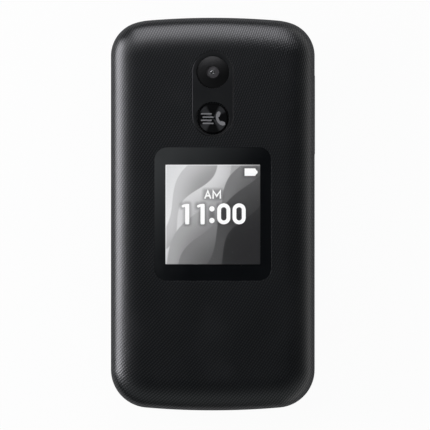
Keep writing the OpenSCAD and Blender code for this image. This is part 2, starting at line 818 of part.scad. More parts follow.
module front_housing() color(plastic_charcoal) {
    wall_inset = base_inset + base_wall;
    hinge_block_l = half_l - cavity_end_y;  // solid end that carries the ears
    screw_deeper = 0.2;     // boss and screw hole below the board's underside
    difference() {
        union() {
            difference() {
                intersection() {
                    base_outside();
                    union() {
                        box(phone_w, phone_l, base_t, [0, 0, split_z]);
                        translate([-jack_x - tab_w / 2, -half_l, tab_z])
                            cube([tab_w, mouth_y + base_wall + half_l, split_z - tab_z + cut]);
                    }
                }
                base_relief();
                difference() {
                    slab(wall_inset, tab_z - cut, face_z);
                    box(phone_w, hinge_block_l, base_t, [0, cavity_end_y + hinge_block_l / 2, 0]);
                }
            }
            for (s = [0, 1]) mirror([s, 0, 0]) ear();
            for (p = base_screw_places)
                disc(base_boss_r, face_z - main_board_z + cut + screw_deeper,
                    [p[0], p[1], main_board_z - screw_deeper]);
        }
        knuckle_space();
        for (p = base_screw_places)
            disc(screw_r + snug, face_z - main_board_z + cut,
                [p[0], p[1], main_board_z - screw_deeper - cut]);
        for (p = number_places) key_opening(key_w, key_l, key_corner_r, p);
        for (p = side_places) key_opening(side_key_w, side_key_l, key_corner_r, p);
        key_opening(clear_key_w, clear_key_l, key_corner_r, [0, clear_key_y]);
        disc(nav_r + key_gap, face_t + 2 * cut, [0, nav_y, face_z - cut]);
        disc(mic_hole_r, face_t + 2 * cut, [mic_x, mic_y, face_z - cut]);
        // seats for the bush and for the cam shaft's square end
        rod_x(bush_r + snug, -ear_start - bush_in - cut, -ear_start + cut);
        translate([ear_start - cut, hinge_y - cam_key_w / 2 - snug, hinge_z - cam_key_w / 2 - snug])
            cube([cam_key_l + 2 * cut, cam_key_w + 2 * snug, cam_key_w + 2 * snug]);
        // audio, charging and rocker openings
        translate([-jack_x, -half_l - cut, jack_z])
            rotate([-90, 0, 0]) cylinder(r = jack_nose_r + snug, h = base_wall + 1.5);
        box(usb_w + 0.6, base_wall + 1, usb_h + 0.5, [0, -half_l + base_wall / 2, usb_z - 0.2]);
        box(base_wall + 1, rocker_l + 2 * key_gap, rocker_h + 2 * key_gap,
            [half_w - base_wall / 2, rocker_y, rocker_z - rocker_h / 2 - key_gap]);
    }
}

module rear_housing() color(plastic_dark) {
    electronics_y1 = half_l - 19.4;
    electronics_w = phone_w - 15;
    chin_y0 = -half_l + 2.6;
    chin_w = phone_w - 21;
    floor_z = tray_z + floor_t;
    ear_gap = 0.1;
    difference() {
        union() {
            difference() {
                intersection() {
                    base_outside();
                    translate([-phone_w, back_edge_y + back_gap, -cut])
                        cube([2 * phone_w, half_l, split_z + cut]);
                }
                base_relief();
            }
            intersection() {
                inside_back(tray_inset, tray_z);
                translate([-phone_w, -half_l, 0])
                    cube([2 * phone_w, half_l + back_edge_y + back_gap + cut, split_z]);
            }
            translate([-battery_w / 2 - bay_gap - bay_wall, bay_y0 - bay_wall, split_z - cut])
                cube([
                    battery_w + 2 * (bay_gap + bay_wall), bay_y1 - bay_y0 + 2 * bay_wall,
                    bay_roof_z + bay_roof_t - split_z + cut
                ]);
        }
        knuckle_space();
        for (s = [0, 1]) mirror([s, 0, 0]) ear(ear_gap);
        translate([-battery_w / 2 - bay_gap, bay_y0, -cut])
            cube([battery_w + 2 * bay_gap, bay_y1 - bay_y0, bay_roof_z + cut]);
        translate([-electronics_w / 2, bay_y1 + bay_wall, floor_z])
            cube([electronics_w, electronics_y1 - bay_y1 - bay_wall, base_t]);
        translate([-chin_w / 2, chin_y0, floor_z])
            cube([chin_w, bay_y0 - bay_wall - chin_y0, base_t]);
        // passages for the audio socket and the battery contacts
        box(jack_body_w + 0.6, 6, base_t, [-jack_x, -half_l + 3, jack_z - jack_body_h / 2 - 0.3]);
        box(contact_w + 0.4, 3, base_t, [0, bay_y1 + 0.5, tray_z + 0.6]);
        for (p = base_screw_places) {
            disc(screw_head_r + snug, base_head_seat_z + cut, [p[0], p[1], -cut]);
            disc(screw_r + 0.1, base_t, [p[0], p[1], 0]);
        }
        speaker_slots(floor_z + cut);
    }
}

module battery_cover() color(plastic_charcoal) {
    notch_l = 3;            // notch around the audio socket, in from the end
    seam_gap = 0.1;
    thumb_x = 8;
    thumb_w = 14;
    thumb_l = 0.6;
    thumb_h = 1;
    difference() {
        intersection() {
            base_outside();
            translate([-phone_w, -half_l - cut, -cut])
                cube([2 * phone_w, half_l + back_edge_y + cut, split_z - seam_gap + cut]);
        }
        inside_back(base_inset + back_wall, back_wall);
        box(tab_w + 2 * back_gap, 2 * notch_l, base_t, [-jack_x, -half_l, tab_z - back_gap]);
        // thumb notch at the microphone end
        box(thumb_w, 2 * thumb_l, base_t, [thumb_x, -half_l, split_z - thumb_h]);
        speaker_slots(back_wall + cut);
    }
}

speaker_side_in = 16.5;
speaker_in = 27.2;                         // from the hinge end
speaker_x = -half_w + speaker_side_in;
speaker_y = half_l - speaker_in;
speaker_w = 16;
speaker_l = 11.6;
speaker_t = 2.9;
floor_t = 1.1;                             // floor of the inner tray
module speaker_slots(h) {
    slots = 5;
    slot_pitch = 1.9;
    speaker_slot_w = 9;
    speaker_slot_l = 0.9;
    for (i = [0:slots - 1])
        rounded_box(speaker_slot_w, speaker_slot_l, 0.49 * speaker_slot_l, h + cut,
            [speaker_x, speaker_y + (i - (slots - 1) / 2) * slot_pitch, -cut]);
}

module loudspeaker() color(plastic_dark) {
    box(speaker_w, speaker_l, speaker_t, [speaker_x, speaker_y, tray_z + floor_t + snug]);
}

socket_gap = 0.35;                         // room that the board leaves round a socket
module main_board() color(board_green) {
    difference() {
        slab(base_inset + base_wall + 0.35, main_board_z, main_board_z + main_board_t);
        translate([-phone_w, cavity_end_y - 0.3, 0]) cube([2 * phone_w, phone_l, base_t]);
        box(jack_body_w + 2 * socket_gap, 2 * (jack_bore_l + 1.9), base_t, [-jack_x, -half_l, 0]);
        box(usb_w + 2 * socket_gap, 2 * (usb_l + 1.2), base_t, [0, -half_l, 0]);
        for (p = base_screw_places) disc(base_boss_r + 0.15, base_t, [p[0], p[1], 0]);
        rocker_space();
    }
}

// Room that board and key sheets leave for the rocker and its switches.
module rocker_space() {
    translate([rocker_space_x, rocker_y - rocker_l / 2 - 1.2, 0])
        cube([half_w, rocker_l + 2.4, base_t]);
}

can_w = 21.6;
can_l = 12;
small_can_l = 9.5;
can_h = 1.7;
can_side_in = 18.9;
can_in = 25.6;                             // from the hinge end
small_can_in = 37.2;
module shield_cans() color(steel) {
    can_x = half_w - can_side_in;
    box(can_w, can_l, can_h, [can_x, half_l - can_in, main_board_z - can_h]);
    box(can_w, small_can_l, can_h, [can_x, half_l - small_can_in, main_board_z - can_h]);
}

sheet_side_in = 3.3;
sheet_w = phone_w - 2 * sheet_side_in;
sheet_y0 = -half_l + 13.6;
sheet_y1 = half_l - 19;
module sheet(z, h) {
    difference() {
        translate([-sheet_w / 2, sheet_y0, z]) cube([sheet_w, sheet_y1 - sheet_y0, h]);
        rocker_space();
    }
}

module key_domes() color(steel) {
    sheet(dome_z, dome_sheet_t);
    for (p = dome_places) disc(dome_r, dome_h + dome_sheet_t, [p[0], p[1], dome_z]);
}

module keypad_membrane() color([0.55, 0.55, 0.56]) {
    z = dome_z + dome_sheet_t;
    difference() {
        sheet(z, membrane_t);
        for (p = dome_places) disc(dome_r + 0.1, membrane_t + 2 * cut, [p[0], p[1], z - cut]);
    }
}

module battery() color([0.2, 0.2, 0.22]) {
    translate([-battery_w / 2, battery_y0, battery_z]) cube([battery_w, battery_l, battery_t]);
}

contact_w = 8;
module battery_contacts() color([0.8, 0.65, 0.25]) {
    blade_w = 1.2;
    blade_pitch = 2.6;
    z = tray_z + 0.8;
    translate([-contact_w / 2, bay_y1 + 0.1, z]) cube([contact_w, 1.6, main_board_z - z]);
    for (i = [-1:1])
        translate([i * blade_pitch - blade_w / 2, bay_y1 - 0.3, z + 0.8])
            cube([blade_w, 0.4 + cut, 1.2]);
}

card_socket_w = 15;
card_socket_l = 9;
card_socket_t = 1.4;
card_socket_side_in = 16;
card_socket_in = 38;                       // from the hinge end
module card_socket() color(steel) {
    box(card_socket_w, card_socket_l, card_socket_t,
        [-half_w + card_socket_side_in, half_l - card_socket_in, main_board_z - card_socket_t]);
}

mic_hole_r = 0.5;
mic_x = half_w - 16.5;
mic_y = -half_l + 5.6;
mic_w = 3.6;
mic_l = 2.8;
module microphone() color(steel) {
    box(mic_w, mic_l, face_z - dome_z - 2 * snug, [mic_x, mic_y, dome_z]);
}

module charging_socket() color(steel) {
    wall = 0.3;
    back_t = 0.6;
    mouth_drop = 0.3;       // how far the mouth lies in from the end
    tongue_t = 0.6;
    tongue_w = usb_w - 2.6;
    y = -half_l + base_inset + mouth_drop + usb_l / 2;
    difference() {
        box(usb_w, usb_l, usb_h, [0, y, usb_z]);
        box(usb_w - 2 * wall, usb_l, usb_h - 2 * wall, [0, y - back_t, usb_z + wall]);
    }
    box(tongue_w, usb_l - 1, tongue_t, [0, y + 0.3, usb_z + (usb_h - tongue_t) / 2]);
}

module audio_jack() color(gloss_black) {
    body_y = mouth_y + base_wall + 0.5;
    difference() {
        union() {
            translate([-jack_x, mouth_y, jack_z])
                rotate([-90, 0, 0]) cylinder(r = jack_nose_r, h = base_wall + 1);
            translate([-jack_x - jack_body_w / 2, body_y, jack_z - jack_body_h / 2])
                cube([jack_body_w, mouth_y + jack_bore_l + 0.4 - body_y, jack_body_h]);
        }
        translate([-jack_x, mouth_y - cut, jack_z])
            rotate([-90, 0, 0]) cylinder(r = jack_bore_r, h = jack_bore_l + cut);
    }
}

module volume_rocker() color(key_grey) {
    outer_x = half_w + rocker_proud;
    box(outer_x - rocker_flange_x, rocker_l, rocker_h,
        [(outer_x + rocker_flange_x) / 2, rocker_y, rocker_z - rocker_h / 2]);
    box(rocker_flange_t, rocker_l + 1.2, rocker_h,
        [rocker_flange_x + rocker_flange_t / 2, rocker_y, rocker_z - rocker_h / 2]);
}

module volume_switches() color(steel) {
    switch_x1 = rocker_flange_x - rocker_travel - 0.1;
    for (s = [-1, 1])
        translate([rocker_space_x, rocker_y + s * rocker_l / 4 - 2, main_board_z])
            cube([switch_x1 - rocker_space_x, 4, 1.3]);
}

module base_screws() color(steel) {
    head_t = 0.7;
    tip_z = face_z - 0.5;
    for (p = base_screw_places) {
        disc(screw_head_r, head_t, [p[0], p[1], base_head_seat_z - head_t]);
        disc(screw_r, tip_z - base_head_seat_z, [p[0], p[1], base_head_seat_z]);
    }
}

antenna_w = 11;
antenna_l = 8;
antenna_t = 2.2;
antenna_in = 7.2;                          // from the microphone end
module antenna() color([0.75, 0.6, 0.35]) {
    box(antenna_w, antenna_l, antenna_t, [mic_x, -half_l + antenna_in, tray_z + floor_t]);
}

// ---- keys ----

module key(w, l, r, at) color(key_grey) {
    lip = key_gap + key_lip;
    rounded_box(w, l, r, key_top_z - lip_z, [at[0], at[1], lip_z]);
    rounded_box(w + 2 * lip, l + 2 * lip, r + lip, lip_t, [at[0], at[1], lip_z]);
    disc(key_plunger_r, lip_z - plunger_z + lip_t / 2, [at[0], at[1], plunger_z]);
}

module number_key(i) {
    key(key_w, key_l, key_corner_r, number_places[i]);
}

module side_key(i) {
    key(side_key_w, side_key_l, key_corner_r, side_places[i]);
}

module clear_key() {
    key(clear_key_w, clear_key_l, key_corner_r, [0, clear_key_y]);
}

module navigation_ring() color(key_grey) {
    lip = key_gap + key_lip;
    difference() {
        union() {
            disc(nav_r, key_top_z - lip_z, [0, nav_y, lip_z]);
            disc(nav_r + lip, lip_t, [0, nav_y, lip_z]);
            for (a = [0:90:270])
                disc(nav_plunger_r, lip_z - plunger_z + lip_t / 2,
                    [nav_dome_r * cos(a), nav_y + nav_dome_r * sin(a), plunger_z]);
        }
        disc(select_r + key_gap, base_t, [0, nav_y, lip_z]);
        disc(select_r + 2 * key_gap + key_lip, lip_t + key_travel + rest_gap + cut,
            [0, nav_y, lip_z - cut]);
    }
}

module select_key() color([0.28, 0.28, 0.29]) {
    disc(select_r, key_top_z - lip_z, [0, nav_y, lip_z]);
    disc(select_r + key_gap + key_lip, lip_t, [0, nav_y, lip_z]);
    disc(key_plunger_r, lip_z - plunger_z + lip_t / 2, [0, nav_y, plunger_z]);
}

lid_outer_cover();
lid_inner_frame();
outer_window();
outer_display();
camera_trim_plate();
camera_ring();
camera_lens();
camera_module();
quick_key();
quick_key_switch();
earpiece();
earpiece_mesh();
main_window();
main_display();
lid_board();
vibration_motor();
lid_magnet();
lid_screws();
lid_bumpers();
hinge_cartridge();
hinge_flex();
hinge_cam_shaft();
hinge_bush();
front_housing();
rear_housing();
main_board();
shield_cans();
key_domes();
keypad_membrane();
battery();
battery_contacts();
battery_cover();
card_socket();
loudspeaker();
microphone();
charging_socket();
audio_jack();
volume_rocker();
volume_switches();
base_screws();
antenna();
number_key(0);  // key_1
number_key(1);  // key_2
number_key(2);  // key_3
number_key(3);  // key_4
number_key(4);  // key_5
number_key(5);  // key_6
number_key(6);  // key_7
number_key(7);  // key_8
number_key(8);  // key_9
number_key(9);  // key_star
number_key(10);  // key_0
number_key(11);  // key_hash
navigation_ring();
select_key();
side_key(0);  // soft_key_left
side_key(1);  // send_key
side_key(2);  // soft_key_right
side_key(3);  // end_key
clear_key();
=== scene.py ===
import json
import math

import bmesh
import bpy
import numpy as np
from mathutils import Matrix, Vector
from mathutils.geometry import delaunay_2d_cdt


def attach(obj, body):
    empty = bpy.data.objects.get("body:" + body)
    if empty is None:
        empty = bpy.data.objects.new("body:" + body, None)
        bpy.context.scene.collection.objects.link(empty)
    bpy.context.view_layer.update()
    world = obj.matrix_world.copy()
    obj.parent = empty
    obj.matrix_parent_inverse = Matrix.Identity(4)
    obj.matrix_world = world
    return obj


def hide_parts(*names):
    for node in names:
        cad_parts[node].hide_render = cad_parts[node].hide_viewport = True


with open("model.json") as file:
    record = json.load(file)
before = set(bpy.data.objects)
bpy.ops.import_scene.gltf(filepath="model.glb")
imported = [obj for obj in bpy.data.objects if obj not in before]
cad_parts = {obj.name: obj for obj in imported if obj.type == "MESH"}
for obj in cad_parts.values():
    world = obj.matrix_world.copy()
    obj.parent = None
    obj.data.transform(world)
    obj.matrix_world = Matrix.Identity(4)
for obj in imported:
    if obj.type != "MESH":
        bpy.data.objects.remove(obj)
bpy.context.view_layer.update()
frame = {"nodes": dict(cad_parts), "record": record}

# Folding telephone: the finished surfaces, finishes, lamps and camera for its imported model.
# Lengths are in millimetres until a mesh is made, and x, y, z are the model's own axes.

scene = bpy.context.scene
MM, PER_M = 0.001, 1000.0          # metres in a millimetre, millimetres in a metre
TURN = 2 * math.pi

HALF_W, HALF_L = 27.5, 53.0
BOW_R = 210.0                      # radius of both bowed ends
HEAD = (9.3, 16.8, 11.6)           # corner radius, shoulder radius, shoulder start from the side
FOOT = (10.3, 17.8, 11.1)
ROLL_POWER = 2 / 2.2
HINGE_Y, HINGE_Z = 46.0, 9.75
RIM_SLOPE = math.tan(math.radians(34))

SEAM_Z, WALL_TOP, LID_TOP = 11.4, 14.5, 18.9
ROLL_W, ROLL_H = 8.5, 4.4
COVER_WALL, CEILING_Z = 1.2, 17.5
WINDOW = (31.5, 36.0, 3.4)         # width, length, corner radius, as for the plate and the main window
WINDOW_FLOOR = 18.1
SCREEN = (25.5, 26.8)
SCREEN_Y = -0.1
PLATE = (11.2, 23.1, 5.6)
PLATE_Y, PLATE_FLOOR, PLATE_TOP = 32.4, 18.2, 19.0
CAMERA_Y, KEY_Y = 38.3, 25.8

MAIN_WINDOW = (46.8, 72.0, 2.5)
MAIN_WINDOW_Y, MAIN_FRONT, MAIN_BACK = -5.5, 10.05, 10.85
MAIN_SCREEN = (43.2, 57.6)
MAIN_SCREEN_Y = -7.0

KEY_TOP, KEY_SAG, KEY_FOOT, KEY_LIP, KEY_TIP = 9.7, 0.06, 8.15, 0.55, 7.95
LIP_TOP = KEY_FOOT + 0.4
PRINT_Z, PRINT_T = KEY_TOP - 0.004, 0.012
NAV = np.array([0.0, 25.0])
NUMBER_KEY, SIDE_KEY, CLEAR_KEY = (15.0, 10.2, 2.4), (12.6, 7.6, 2.4), (13.0, 5.0, 2.4)
COLUMNS, ROWS = (-16.2, 0.0, 16.2), (1.6, -10.2, -22.0, -33.8)


# ---------------------------------------------------------------- outlines

def end_arcs(end, inset):
    """Half of one end of the outline, from its middle to the side: three arcs whose centres lie on
    one another's radii, each point being centre + (radius - inset) * (sin, cos) of its bearing."""
    corner, shoulder, side_in = end
    first = math.asin((HALF_W - side_in) / (BOW_R - shoulder))
    second = math.asin((side_in - corner) / (shoulder - corner))
    centre, start, outer, legs = np.array([0.0, HALF_L - BOW_R]), 0.0, BOW_R, []
    for radius, stop, count in ((BOW_R, first, 14), (shoulder, second, 12), (corner, math.pi / 2, 18)):
        centre = centre + (outer - radius) * np.array([math.sin(start), math.cos(start)])
        bearing = np.linspace(start, stop, count, endpoint=False)
        legs.append(centre + (radius - inset) * np.stack([np.sin(bearing), np.cos(bearing)], 1))
        start, outer = stop, radius
    return np.concatenate([*legs, [centre + [corner - inset, 0.0]]])


def plan_ring(inset):
    """The whole outline drawn in by an inset, anticlockwise from the middle of the foot: the right
    half is the foot's arcs and the head's arcs reversed, and the left half is its mirror image."""
    right = np.concatenate([end_arcs(FOOT, inset) * [1, -1], end_arcs(HEAD, inset)[::-1]])
    return np.concatenate([right, right[-2:0:-1] * [-1, 1]])


def rounded_loop(size, at=(0.0, 0.0), grow=0.0, steps=10, sides=1):
    """A rounded rectangle, anticlockwise: a quarter circle of radius + grow about each corner's centre,
    which lies a radius inside both sides, and each straight side cut into a number of even parts."""
    width, length, radius = size
    bearing = np.linspace(-math.pi / 2, 0, steps + 1)
    half = np.array([width / 2 - radius, length / 2 - radius])
    quarters = [half * side + (radius + grow) * np.stack([np.cos(bearing + k * math.pi / 2),
                                                          np.sin(bearing + k * math.pi / 2)], 1)
                for k, side in enumerate(((1, -1), (1, 1), (-1, 1), (-1, -1)))]
    part = np.linspace(0, 1, sides + 1)[1:-1, None]
    quarters = [np.concatenate([one, one[-1:] + (after[:1] - one[-1:]) * part])
                for one, after in zip(quarters, quarters[1:] + quarters[:1])]
    loop = np.concatenate(quarters) + np.asarray(at)
    return loop[np.hypot(*(loop - np.roll(loop, 1, 0)).T) > 1e-6]


def circle(radius, at=(0.0, 0.0), steps=64):
    """Points at even angles about a centre."""
    angle = np.arange(steps) * TURN / steps
    return np.asarray(at) + radius * np.stack([np.cos(angle), np.sin(angle)], 1)


def arc(x, y, across, up, start, stop, steps=14):
    """Part of an ellipse about x, y from a start to a stop angle in degrees."""
    angle = np.radians(np.linspace(start, stop, steps))
    return np.stack([x + across * np.cos(angle), y + up * np.sin(angle)], 1)


def raised(loop, height):
    """A flat loop given a height, one number or one for each point."""
    return np.column_stack([loop, np.broadcast_to(height, len(loop))])


def inside(points, loop):
    """Whether each point lies in a closed loop: the ray from it towards +X crosses the loop's edges an
    odd number of times."""
    a, b = loop, np.roll(loop, -1, 0)
    x, y = points[:, :1], points[:, 1:]
    crosses = (a[:, 1] > y) != (b[:, 1] > y)
    rise = np.where(a[:, 1] == b[:, 1], 1.0, b[:, 1] - a[:, 1])
    return (crosses & (a[:, 0] + (y - a[:, 1]) * (b[:, 0] - a[:, 0]) / rise > x)).sum(1) % 2 == 1


# ---------------------------------------------------------------- meshes

class Skin:
    """Faces gathered in millimetres, welded into closed shells when the piece is made."""

    def __init__(self):
        self.points, self.faces, self.lays, self.count = [], [], [], 0

    def add(self, points, faces, lay=None):
        """Takes points, faces on them and, where a pattern follows the surface, the points' places in it."""
        self.points.append(points)
        self.lays.append(points if lay is None else lay)
        self.faces += (faces + self.count).tolist()
        self.count += len(points)

    def rows(self, rows, closed=False, lays=None):
        """Quads between neighbouring rows of points, round each row, and from the last row to the first
        where the rows close on themselves."""
        rows = np.asarray(rows, float)
        index = np.arange(rows.shape[0] * rows.shape[1]).reshape(rows.shape[:2])
        after = np.roll(index, -1, 1)
        low, high = (index, after), (np.roll(index, -1, 0), np.roll(after, -1, 0))
        quads = np.stack([low[0], low[1], high[1], high[0]], -1)
        quads = quads if closed else quads[:-1]
        self.add(rows.reshape(-1, 3), quads.reshape(-1, 4),
                 None if lays is None else np.asarray(lays, float).reshape(-1, 3))

    def level(self, height, outer, holes=()):
        """A flat face at a height: the Delaunay triangles whose middles lie in the outer loop and in no
        hole."""
        loops = [np.asarray(outer), *map(np.asarray, holes)]
        points = np.concatenate(loops)
        starts = np.cumsum([0, *map(len, loops)])
        edges = np.concatenate([np.column_stack([np.arange(a, b), np.roll(np.arange(a, b), -1)])
                                for a, b in zip(starts, starts[1:])])
        found = delaunay_2d_cdt([Vector(p) for p in points.tolist()], edges.tolist(), [], 0, 1e-7)
        own = np.array([source[0] for source in found[3]])
        corners = own[np.array(found[2])]
        middles = points[corners].mean(1)
        kept = inside(middles, loops[0])
        for hole in loops[1:]:
            kept &= ~inside(middles, hole)
        self.add(raised(points, height), corners[kept])

    def wall(self, loops, heights):
        """Rows whose loops and heights are given one by one."""
        self.rows([raised(loop, height) for loop, height in zip(loops, heights)])

    def slab(self, outer, low, high, holes=()):
        """Two flat faces and the upright walls between them, round the outer loop and each hole."""
        for loop in (outer, *holes):
            self.wall([loop, loop], [low, high])
        for height in (low, high):
            self.level(height, outer, holes)


def mesh_of(name, skin):
    """The welded mesh in metres: doubles merged, flat faces dropped and every shell turned outwards."""
    mesh = bpy.data.meshes.new(name)
    mesh.from_pydata(np.concatenate(skin.points) * MM, [], skin.faces)
    lay = mesh.attributes.new("lay", "FLOAT_VECTOR", "POINT")
    lay.data.foreach_set("vector", np.concatenate(skin.lays).astype(np.float32).ravel())
    work = bmesh.new()
    work.from_mesh(mesh)
    bmesh.ops.remove_doubles(work, verts=work.verts, dist=2e-7)
    bmesh.ops.dissolve_degenerate(work, edges=work.edges, dist=1e-8)
    bmesh.ops.recalc_face_normals(work, faces=work.faces)
    work.to_mesh(mesh)
    work.free()
    return mesh


def piece(name, skin, body, material, stands_for=(), weighted=True):
    """A finished piece: its mesh, shading, material and body, with the nodes that it stands for hidden."""
    mesh = mesh_of(name, skin)
    mesh.shade_smooth()
    mesh.set_sharp_from_angle(angle=math.radians(35))
    mesh.materials.append(material)
    made = bpy.data.objects.new(name, mesh)
    scene.collection.objects.link(made)
    if weighted:
        normals = made.modifiers.new("even shading", "WEIGHTED_NORMAL")
        normals.keep_sharp = True
    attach(made, body)
    if stands_for:
        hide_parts(*stands_for)
    return made


def turned(profile, at=(0.0, 0.0), steps=96):
    """Rows of a turned shape: each profile point's radius times the sine and cosine of even angles about
    an upright axis, at that point's height."""
    profile = np.asarray(profile, float)
    ring = circle(1.0, steps=steps)
    flat = np.asarray(at) + profile[:, None, :1] * ring
    return np.concatenate([flat, np.broadcast_to(profile[:, None, 1:], flat.shape[:2] + (1,))], 2)


def rounding(radius, steps=5):
    """A quarter round's two measures, from the side to the top: how far in, radius * (1 - cos), and how
    far up, radius * sin, for even angles."""
    angle = np.linspace(0, math.pi / 2, steps + 1)
    return radius * (1 - np.cos(angle)), radius * np.sin(angle)


def crown(points, size, at, top, sag):
    """Height of a gently domed face: the top less the sag times the mean of the squared distances from
    the middle, each measured in half widths and half lengths."""
    across = (points[..., 0] - at[0]) / (size[0] / 2)
    along = (points[..., 1] - at[1]) / (size[1] / 2)
    return top - sag * (across ** 2 + along ** 2) / 2


def domed_cap(skin, size, at, top, sag, edge, steps=7):
    """The rounded edge and crowned top of a slab: the edge's rows are drawn in and raised by a quarter
    round, and the top's rows are the last of them shrunk towards the middle."""
    drawn, up = rounding(edge)
    loops = [rounded_loop(size, at, -d, sides=4) for d in drawn]
    rim = [np.column_stack([loop, crown(loop, size, at, top, sag) - (edge - rise)])
           for loop, rise in zip(loops, up)]
    tops = [(loops[-1] - at) * s + at for s in np.linspace(1, 0, steps + 1)[1:]]
    skin.rows(rim + [np.column_stack([loop, crown(loop, size, at, top, sag)]) for loop in tops])
    return rim[0]


# ---------------------------------------------------------------- strokes of marks

def ribbon(skin, path, width, bottom, thick, closed=False, shape=None):
    """A flat band along a path. Each station lies half the width to both sides along the mean of its two
    segments' normals, lengthened at a bend. Open ends are round: the half width shrinks as the cosine
    and the station runs on as the sine. shape(points) adds the height of the face below."""
    path = np.asarray(path, float)
    steps = np.diff(np.concatenate([path, path[:1]]) if closed else path, axis=0)
    steps /= np.linalg.norm(steps, axis=1, keepdims=True)
    sides = np.stack([-steps[:, 1], steps[:, 0]], 1)
    before = np.roll(sides, 1, 0) if closed else np.concatenate([sides[:1], sides])
    after = sides if closed else np.concatenate([sides, sides[-1:]])
    sharpest, ends = 0.45, 5           # least cosine of half a bend, stations in a round end
    mean = before + after
    mean /= np.maximum(np.linalg.norm(mean, axis=1, keepdims=True), 1e-6)
    mean /= np.maximum((mean * after).sum(1, keepdims=True), sharpest)
    half = np.full(len(path), width / 2)
    if not closed:
        angle = np.linspace(0, math.pi / 2, ends + 1)[1:]
        on, narrow = np.sin(angle)[:, None] * width / 2, np.cos(angle) * width / 2
        path = np.concatenate([(path[0] - on * steps[0])[::-1], path, path[-1] + on * steps[-1]])
        mean = np.concatenate([np.repeat(mean[:1], ends, 0), mean, np.repeat(mean[-1:], ends, 0)])
        half = np.concatenate([narrow[::-1], half, narrow])
    left, right = [raised(side, bottom + (0 if shape is None else shape(side)))
                   for side in (path + mean * half[:, None], path - mean * half[:, None])]
    skin.rows(np.stack([left, right, right + [0, 0, thick], left + [0, 0, thick]], 1), closed=closed)


RING = arc(0.5, 0.8, 0.44, 0.8, 0, 360, 33)[:-1]
SIX = [(arc(0.5, 0.5, 0.46, 0.5, 0, 360, 29)[:-1], True),
       (np.concatenate([[(0.8, 1.56)], arc(0.95, 0.5, 0.91, 0.98, 115, 178, 10)]), False)]
# Each figure is drawn in a box 1 wide and 1.6 high: strokes, and whether each closes on itself.
FIGURES = {
    "0": [(RING, True)],
    "1": [([(0.12, 1.25), (0.52, 1.6), (0.52, 0.0)], False)],
    "2": [(np.concatenate([arc(0.5, 1.13, 0.46, 0.47, 165, -35), [(0.02, 0.0), (1.0, 0.0)]]), False)],
    "3": [(np.concatenate([arc(0.46, 1.2, 0.44, 0.4, 150, -75), arc(0.46, 0.42, 0.5, 0.43, 75, -150)]),
           False)],
    "4": [([(0.72, 0.0), (0.72, 1.6), (0.0, 0.46), (1.02, 0.46)], False)],
    "5": [(np.concatenate([[(0.9, 1.6), (0.2, 1.6), (0.1, 0.86)], arc(0.46, 0.5, 0.5, 0.5, 130, -150)]),
           False)],
    "6": SIX,
    "7": [([(0.0, 1.6), (1.0, 1.6), (0.36, 0.0)], False)],
    "8": [(arc(0.5, 1.2, 0.38, 0.4, 0, 360, 25)[:-1], True),
          (arc(0.5, 0.42, 0.46, 0.42, 0, 360, 27)[:-1], True)],
    "9": [([1.0, 1.6] - np.asarray(points), closed) for points, closed in SIX],
    "A": [([(-0.1, 0.0), (0.5, 1.6), (1.1, 0.0)], False), ([(0.15, 0.5), (0.85, 0.5)], False)],
    "M": [([(-0.25, 0.0), (-0.25, 1.6), (0.55, 0.4), (1.35, 1.6), (1.35, 0.0)], False)],
    "C": [(arc(0.55, 0.8, 0.5, 0.8, 50, 310, 24), False)],
    "*": [([(0.5, 0.45), (0.5, 1.25)], False), ([(0.15, 0.65), (0.85, 1.05)], False),
          ([(0.15, 1.05), (0.85, 0.65)], False)],
    "#": [([(0.25, 0.2), (0.4, 1.4)], False), ([(0.62, 0.2), (0.77, 1.4)], False),
          ([(0.05, 0.55), (0.95, 0.55)], False), ([(0.08, 1.05), (0.98, 1.05)], False)],
}


def figure(skin, sign, at, height, stroke, bottom, thick, shape=None):
    """One figure centred on a place, its box scaled to a height, its strokes a hair apart in height."""
    scale = height / 1.6
    for layer, (points, closed) in enumerate(FIGURES[sign]):
        path = (np.asarray(points) - [0.5, 0.8]) * scale + np.asarray(at)
        ribbon(skin, path, stroke, bottom + 0.003 * layer, thick, closed, shape)


# ---------------------------------------------------------------- shader nodes

